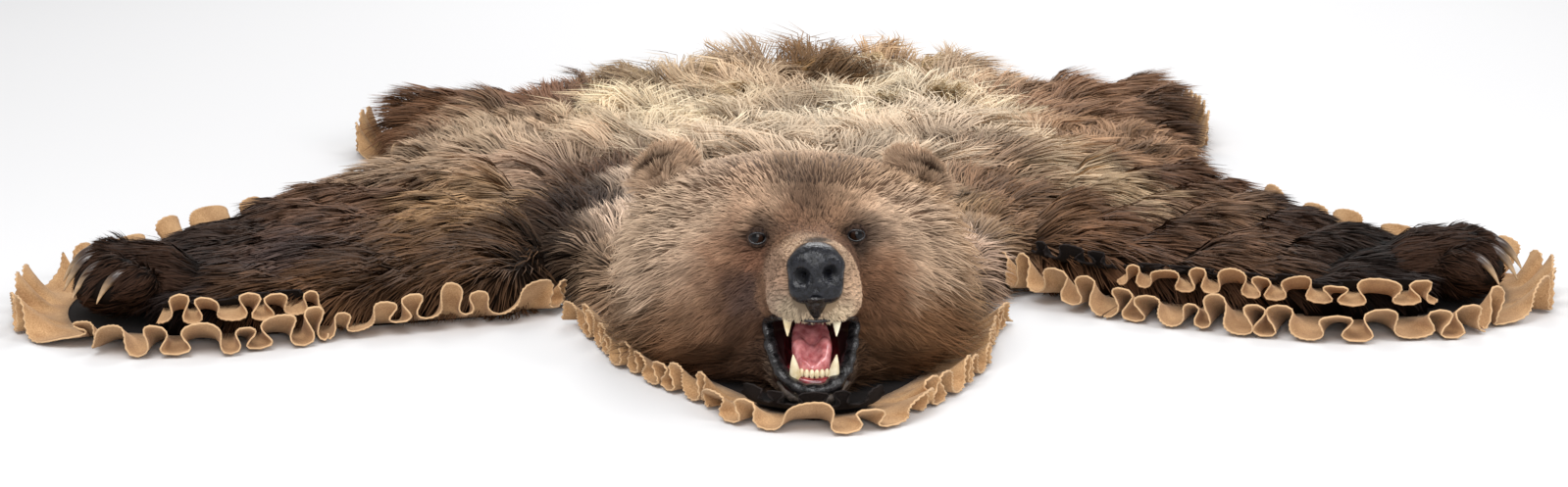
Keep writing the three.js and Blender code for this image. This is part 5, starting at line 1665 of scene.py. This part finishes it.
def ear(name, middle, turn, wide, high, seed):
    """The cup of an ear and its fur: short and dark inside, long and pale from the rim back."""
    rings = ear_rings(middle, turn, wide, high)
    cup = put_mesh(name + "_cup", *capped_rings(rings))
    paint(cup, EAR_DARK[0])
    fit_out(cup, FUR, "fur_ear", name)
    roots, normals, _ = grid_roots(rings, EAR_STRANDS, seed)
    spoke = roots - np.array(middle)
    out = np.hypot(spoke[:, 0] / (wide / 2), spoke[:, 2] / (high / 2))
    upper = ramp(spoke[:, 2] / high, -0.3, 0.1)
    rim = np.maximum(ramp(out, 0.82, 1.0) * upper, ramp(spoke[:, 1], -2, 4))[:, None]
    heading = unit((spoke + (0, 0, 0.55 * high)) * (1, 0.3, 1)) + (0, 0.5, 0)
    tones = tuple(dark * (1 - rim) + pale * rim for dark, pale in zip(EAR_DARK, EAR_PALE))
    strands = fur("fur_" + name, roots, normals, heading, tones, 8 + 21 * rim[:, 0], 0.4, 1.1, 8, seed,
                  pull=0.3, curl=0.04, turn=0.3, shade=0.85, form=SHORT)
    fit_out(strands, FUR, "fur_ear")
    print(name, "faces of the cup:", len(cup.data.polygons))


for seed, row in enumerate(EARS, 41):
    ear(*row, seed)

# %% [markdown]
# The paws are clenched mounds with a knuckle behind each claw. They are blended from balls: a
# palm and five knuckles, joined by a voxel Remesh modifier, which melts their creases as skin
# does. Each claw is given by its root and its tip, and its knuckle sits behind the root.

# %% Shape of the paws
PAWS = {
    "left": dict(middle=(-852, -420, 48.5), radii=(64, 94, 46), way=(-0.92, -0.38, 0), claws=[
        ((-878, -362, 74), (-928, -368, 44)), ((-882, -398, 78), (-930, -408, 42)),
        ((-876, -434, 78), (-920, -452, 40)), ((-858, -470, 76), (-902, -488, 38)),
        ((-826, -496, 70), (-866, -512, 38))]),
    "right": dict(middle=(886, -330, 48.5), radii=(62, 90, 46), way=(0.92, -0.38, 0), claws=[
        ((908, -266, 72), (952, -262, 44)), ((916, -300, 76), (962, -300, 42)),
        ((918, -336, 78), (968, -340, 40)), ((908, -372, 76), (952, -384, 38)),
        ((880, -402, 70), (922, -416, 38))]),
}
TOE_RADIUS = 25
VOXEL = 5


def paw_skin(name, balls):
    """The balls as one mesh, after a voxel Remesh and a little smoothing."""
    piece = joined(name, [capped_rings(ball(middle, radii, 22, 36)) for middle, radii in balls])
    melt = piece.modifiers.new("melt", "REMESH")
    melt.voxel_size = VOXEL * MM
    melt.use_smooth_shade = True
    ease = piece.modifiers.new("ease", "SMOOTH")
    ease.iterations = 4
    result = bpy.data.meshes.new_from_object(piece.evaluated_get(bpy.context.evaluated_depsgraph_get()))
    piece.modifiers.clear()
    piece.data = result
    return piece


def paw_balls(paw):
    """The palm and a knuckle at each claw's root, each as a middle and three radii."""
    side = math.copysign(1, paw["middle"][0])
    knuckles = []
    for root, tip in paw["claws"]:
        x = root[0] * 0.75 + tip[0] * 0.25 - side * TOE_RADIUS * 0.75
        knuckles.append(((x, root[1], root[2] - TOE_RADIUS * 0.45), (TOE_RADIUS * 1.08, 20, TOE_RADIUS)))
    shrunk = tuple(r - 5 for r in paw["radii"])
    return [(paw["middle"], shrunk), *knuckles]


print("paws:", len(PAWS), "with", len(PAWS["left"]["claws"]), "claws each")

# %% [markdown]
# The fur on a paw is short, sleek and nearly black, and is combed towards the claws. It grows on
# the balls wherever no other ball covers them. Longer strands from the end of the leg lie over
# the back of the paw and close the wrist.

# %% Fur of the paws
PAW_TONES = (linear((20, 14, 11)), linear((64, 44, 33)))
PALM_STRANDS, KNUCKLE_STRANDS, WRIST_STRANDS = 3200, 900, 2600


def wrist_fur(name, paw, seed):
    """Strands from the end of the leg that lie over the back of the paw and close the wrist."""
    random, count = np.random.default_rng(seed), WRIST_STRANDS
    way = unit(np.array(paw["way"]))
    across = np.array([-way[1], way[0], 0])
    back, side = random.uniform(34, 96, (count, 1)), random.uniform(-82, 82, (count, 1))
    roots = np.array(paw["middle"]) - way * back + across * side * (1 - 0.1 * back / 96)
    roots[:, 2] = 66 - 26 * (side[:, 0] / 82) ** 2
    normals = np.array([0, 0, 1.0]) + across * side / 90
    tones = tuple(np.tile(tone, (count, 1)) for tone in PAW_TONES)
    strands = fur(name, roots, normals, np.tile(way, (count, 1)), tones, 74, 0.62, 1.7, 13, seed,
                  pull=0.4, curl=0.03, turn=0.14, droop=0.02, form=SHORT)
    fit_out(strands, FUR, "fur_paw")


def paw_fur(name, paw, balls, seed):
    """Strands on the balls wherever no other ball covers the place."""
    found = []
    for k, (middle, radii) in enumerate(balls):
        count = PALM_STRANDS if k == 0 else KNUCKLE_STRANDS
        roots, normals, _ = grid_roots(ball(middle, radii, 22, 36), count, seed + k)
        free = roots[:, 2] > 14
        for other, (m, r) in enumerate(balls):
            if other != k:
                free &= (((roots - m) / r) ** 2).sum(1) > 0.92
        for root, tip in paw["claws"]:
            free &= np.linalg.norm(roots - np.array(root), axis=1) > 13
            free &= np.linalg.norm(roots - (np.array(root) + tip) / 2, axis=1) > 20
        found.append((roots[free], normals[free]))
    roots = np.concatenate([r for r, _ in found])
    normals = np.concatenate([n for _, n in found])
    away = unit(roots - np.array(balls[0][0])) * 0.5
    way = np.array(paw["way"]) + away * (1, 1, 0.3) - (0, 0, 0.25)
    tones = tuple(np.tile(tone, (len(roots), 1)) for tone in PAW_TONES)
    far = ramp(np.abs(roots[:, 0]) - abs(paw["middle"][0]), 5, 40)
    strands = fur(name, roots, normals, way, tones, 26 - 14 * far, 0.14, 1.4, 11, seed, pull=0.3,
                  curl=0.03, form=SHORT)
    fit_out(strands, FUR, "fur_paw")


print("strands on a paw, at most:", PALM_STRANDS + 5 * KNUCKLE_STRANDS)

# %% [markdown]
# A claw is a horn, flattened from side to side. Its colour goes from a dark root to a worn, pale
# tip with fine streaks, and a thin coat gives it the polish of real horn.

# %% Paws and claws
CLAW_THICK, CLAW_HUMP = 9, 27
CLAW_DARK, CLAW_WORN = linear((50, 32, 22)), linear((190, 160, 124))
HORN = toned_material("claw_horn", 0.3, Coat_Weight=0.35, Coat_Roughness=0.15)


def claw(name, root, tip, seed):
    """A horn whose colour runs from dark to worn along it, times a fine wander."""
    piece, along = horn(name, root, tip, CLAW_THICK, CLAW_HUMP, flat=0.7)
    streak = 1 + 0.25 * drift(mesh_points(piece) * (0.3, 1, 0.3), 3, seed)[:, None]
    fade = ramp(along[:, None], 0.38, 1.08)
    paint(piece, np.clip((CLAW_DARK * (1 - fade) + CLAW_WORN * fade) * streak, 0, 1))
    return piece


for seed, (side, paw) in enumerate(PAWS.items(), 51):
    balls = paw_balls(paw)
    skin = paw_skin(f"paw_{side}_skin", balls)
    skin.data.materials.clear()
    paint(skin, PAW_TONES[0])
    fit_out(skin, FUR, "fur_paw", f"paw_{side}")
    paw_fur(f"fur_paw_{side}", paw, balls, seed * 10)
    wrist_fur(f"fur_wrist_{side}", paw, seed * 10 + 8)
    for k, (root, tip) in enumerate(paw["claws"], 1):
        fit_out(claw(f"claw_{side}_{k}_horn", root, tip, 60 + k), HORN, "horn", f"claw_{side}_{k}")
    print("paw", side, "skin faces:", len(skin.data.polygons))
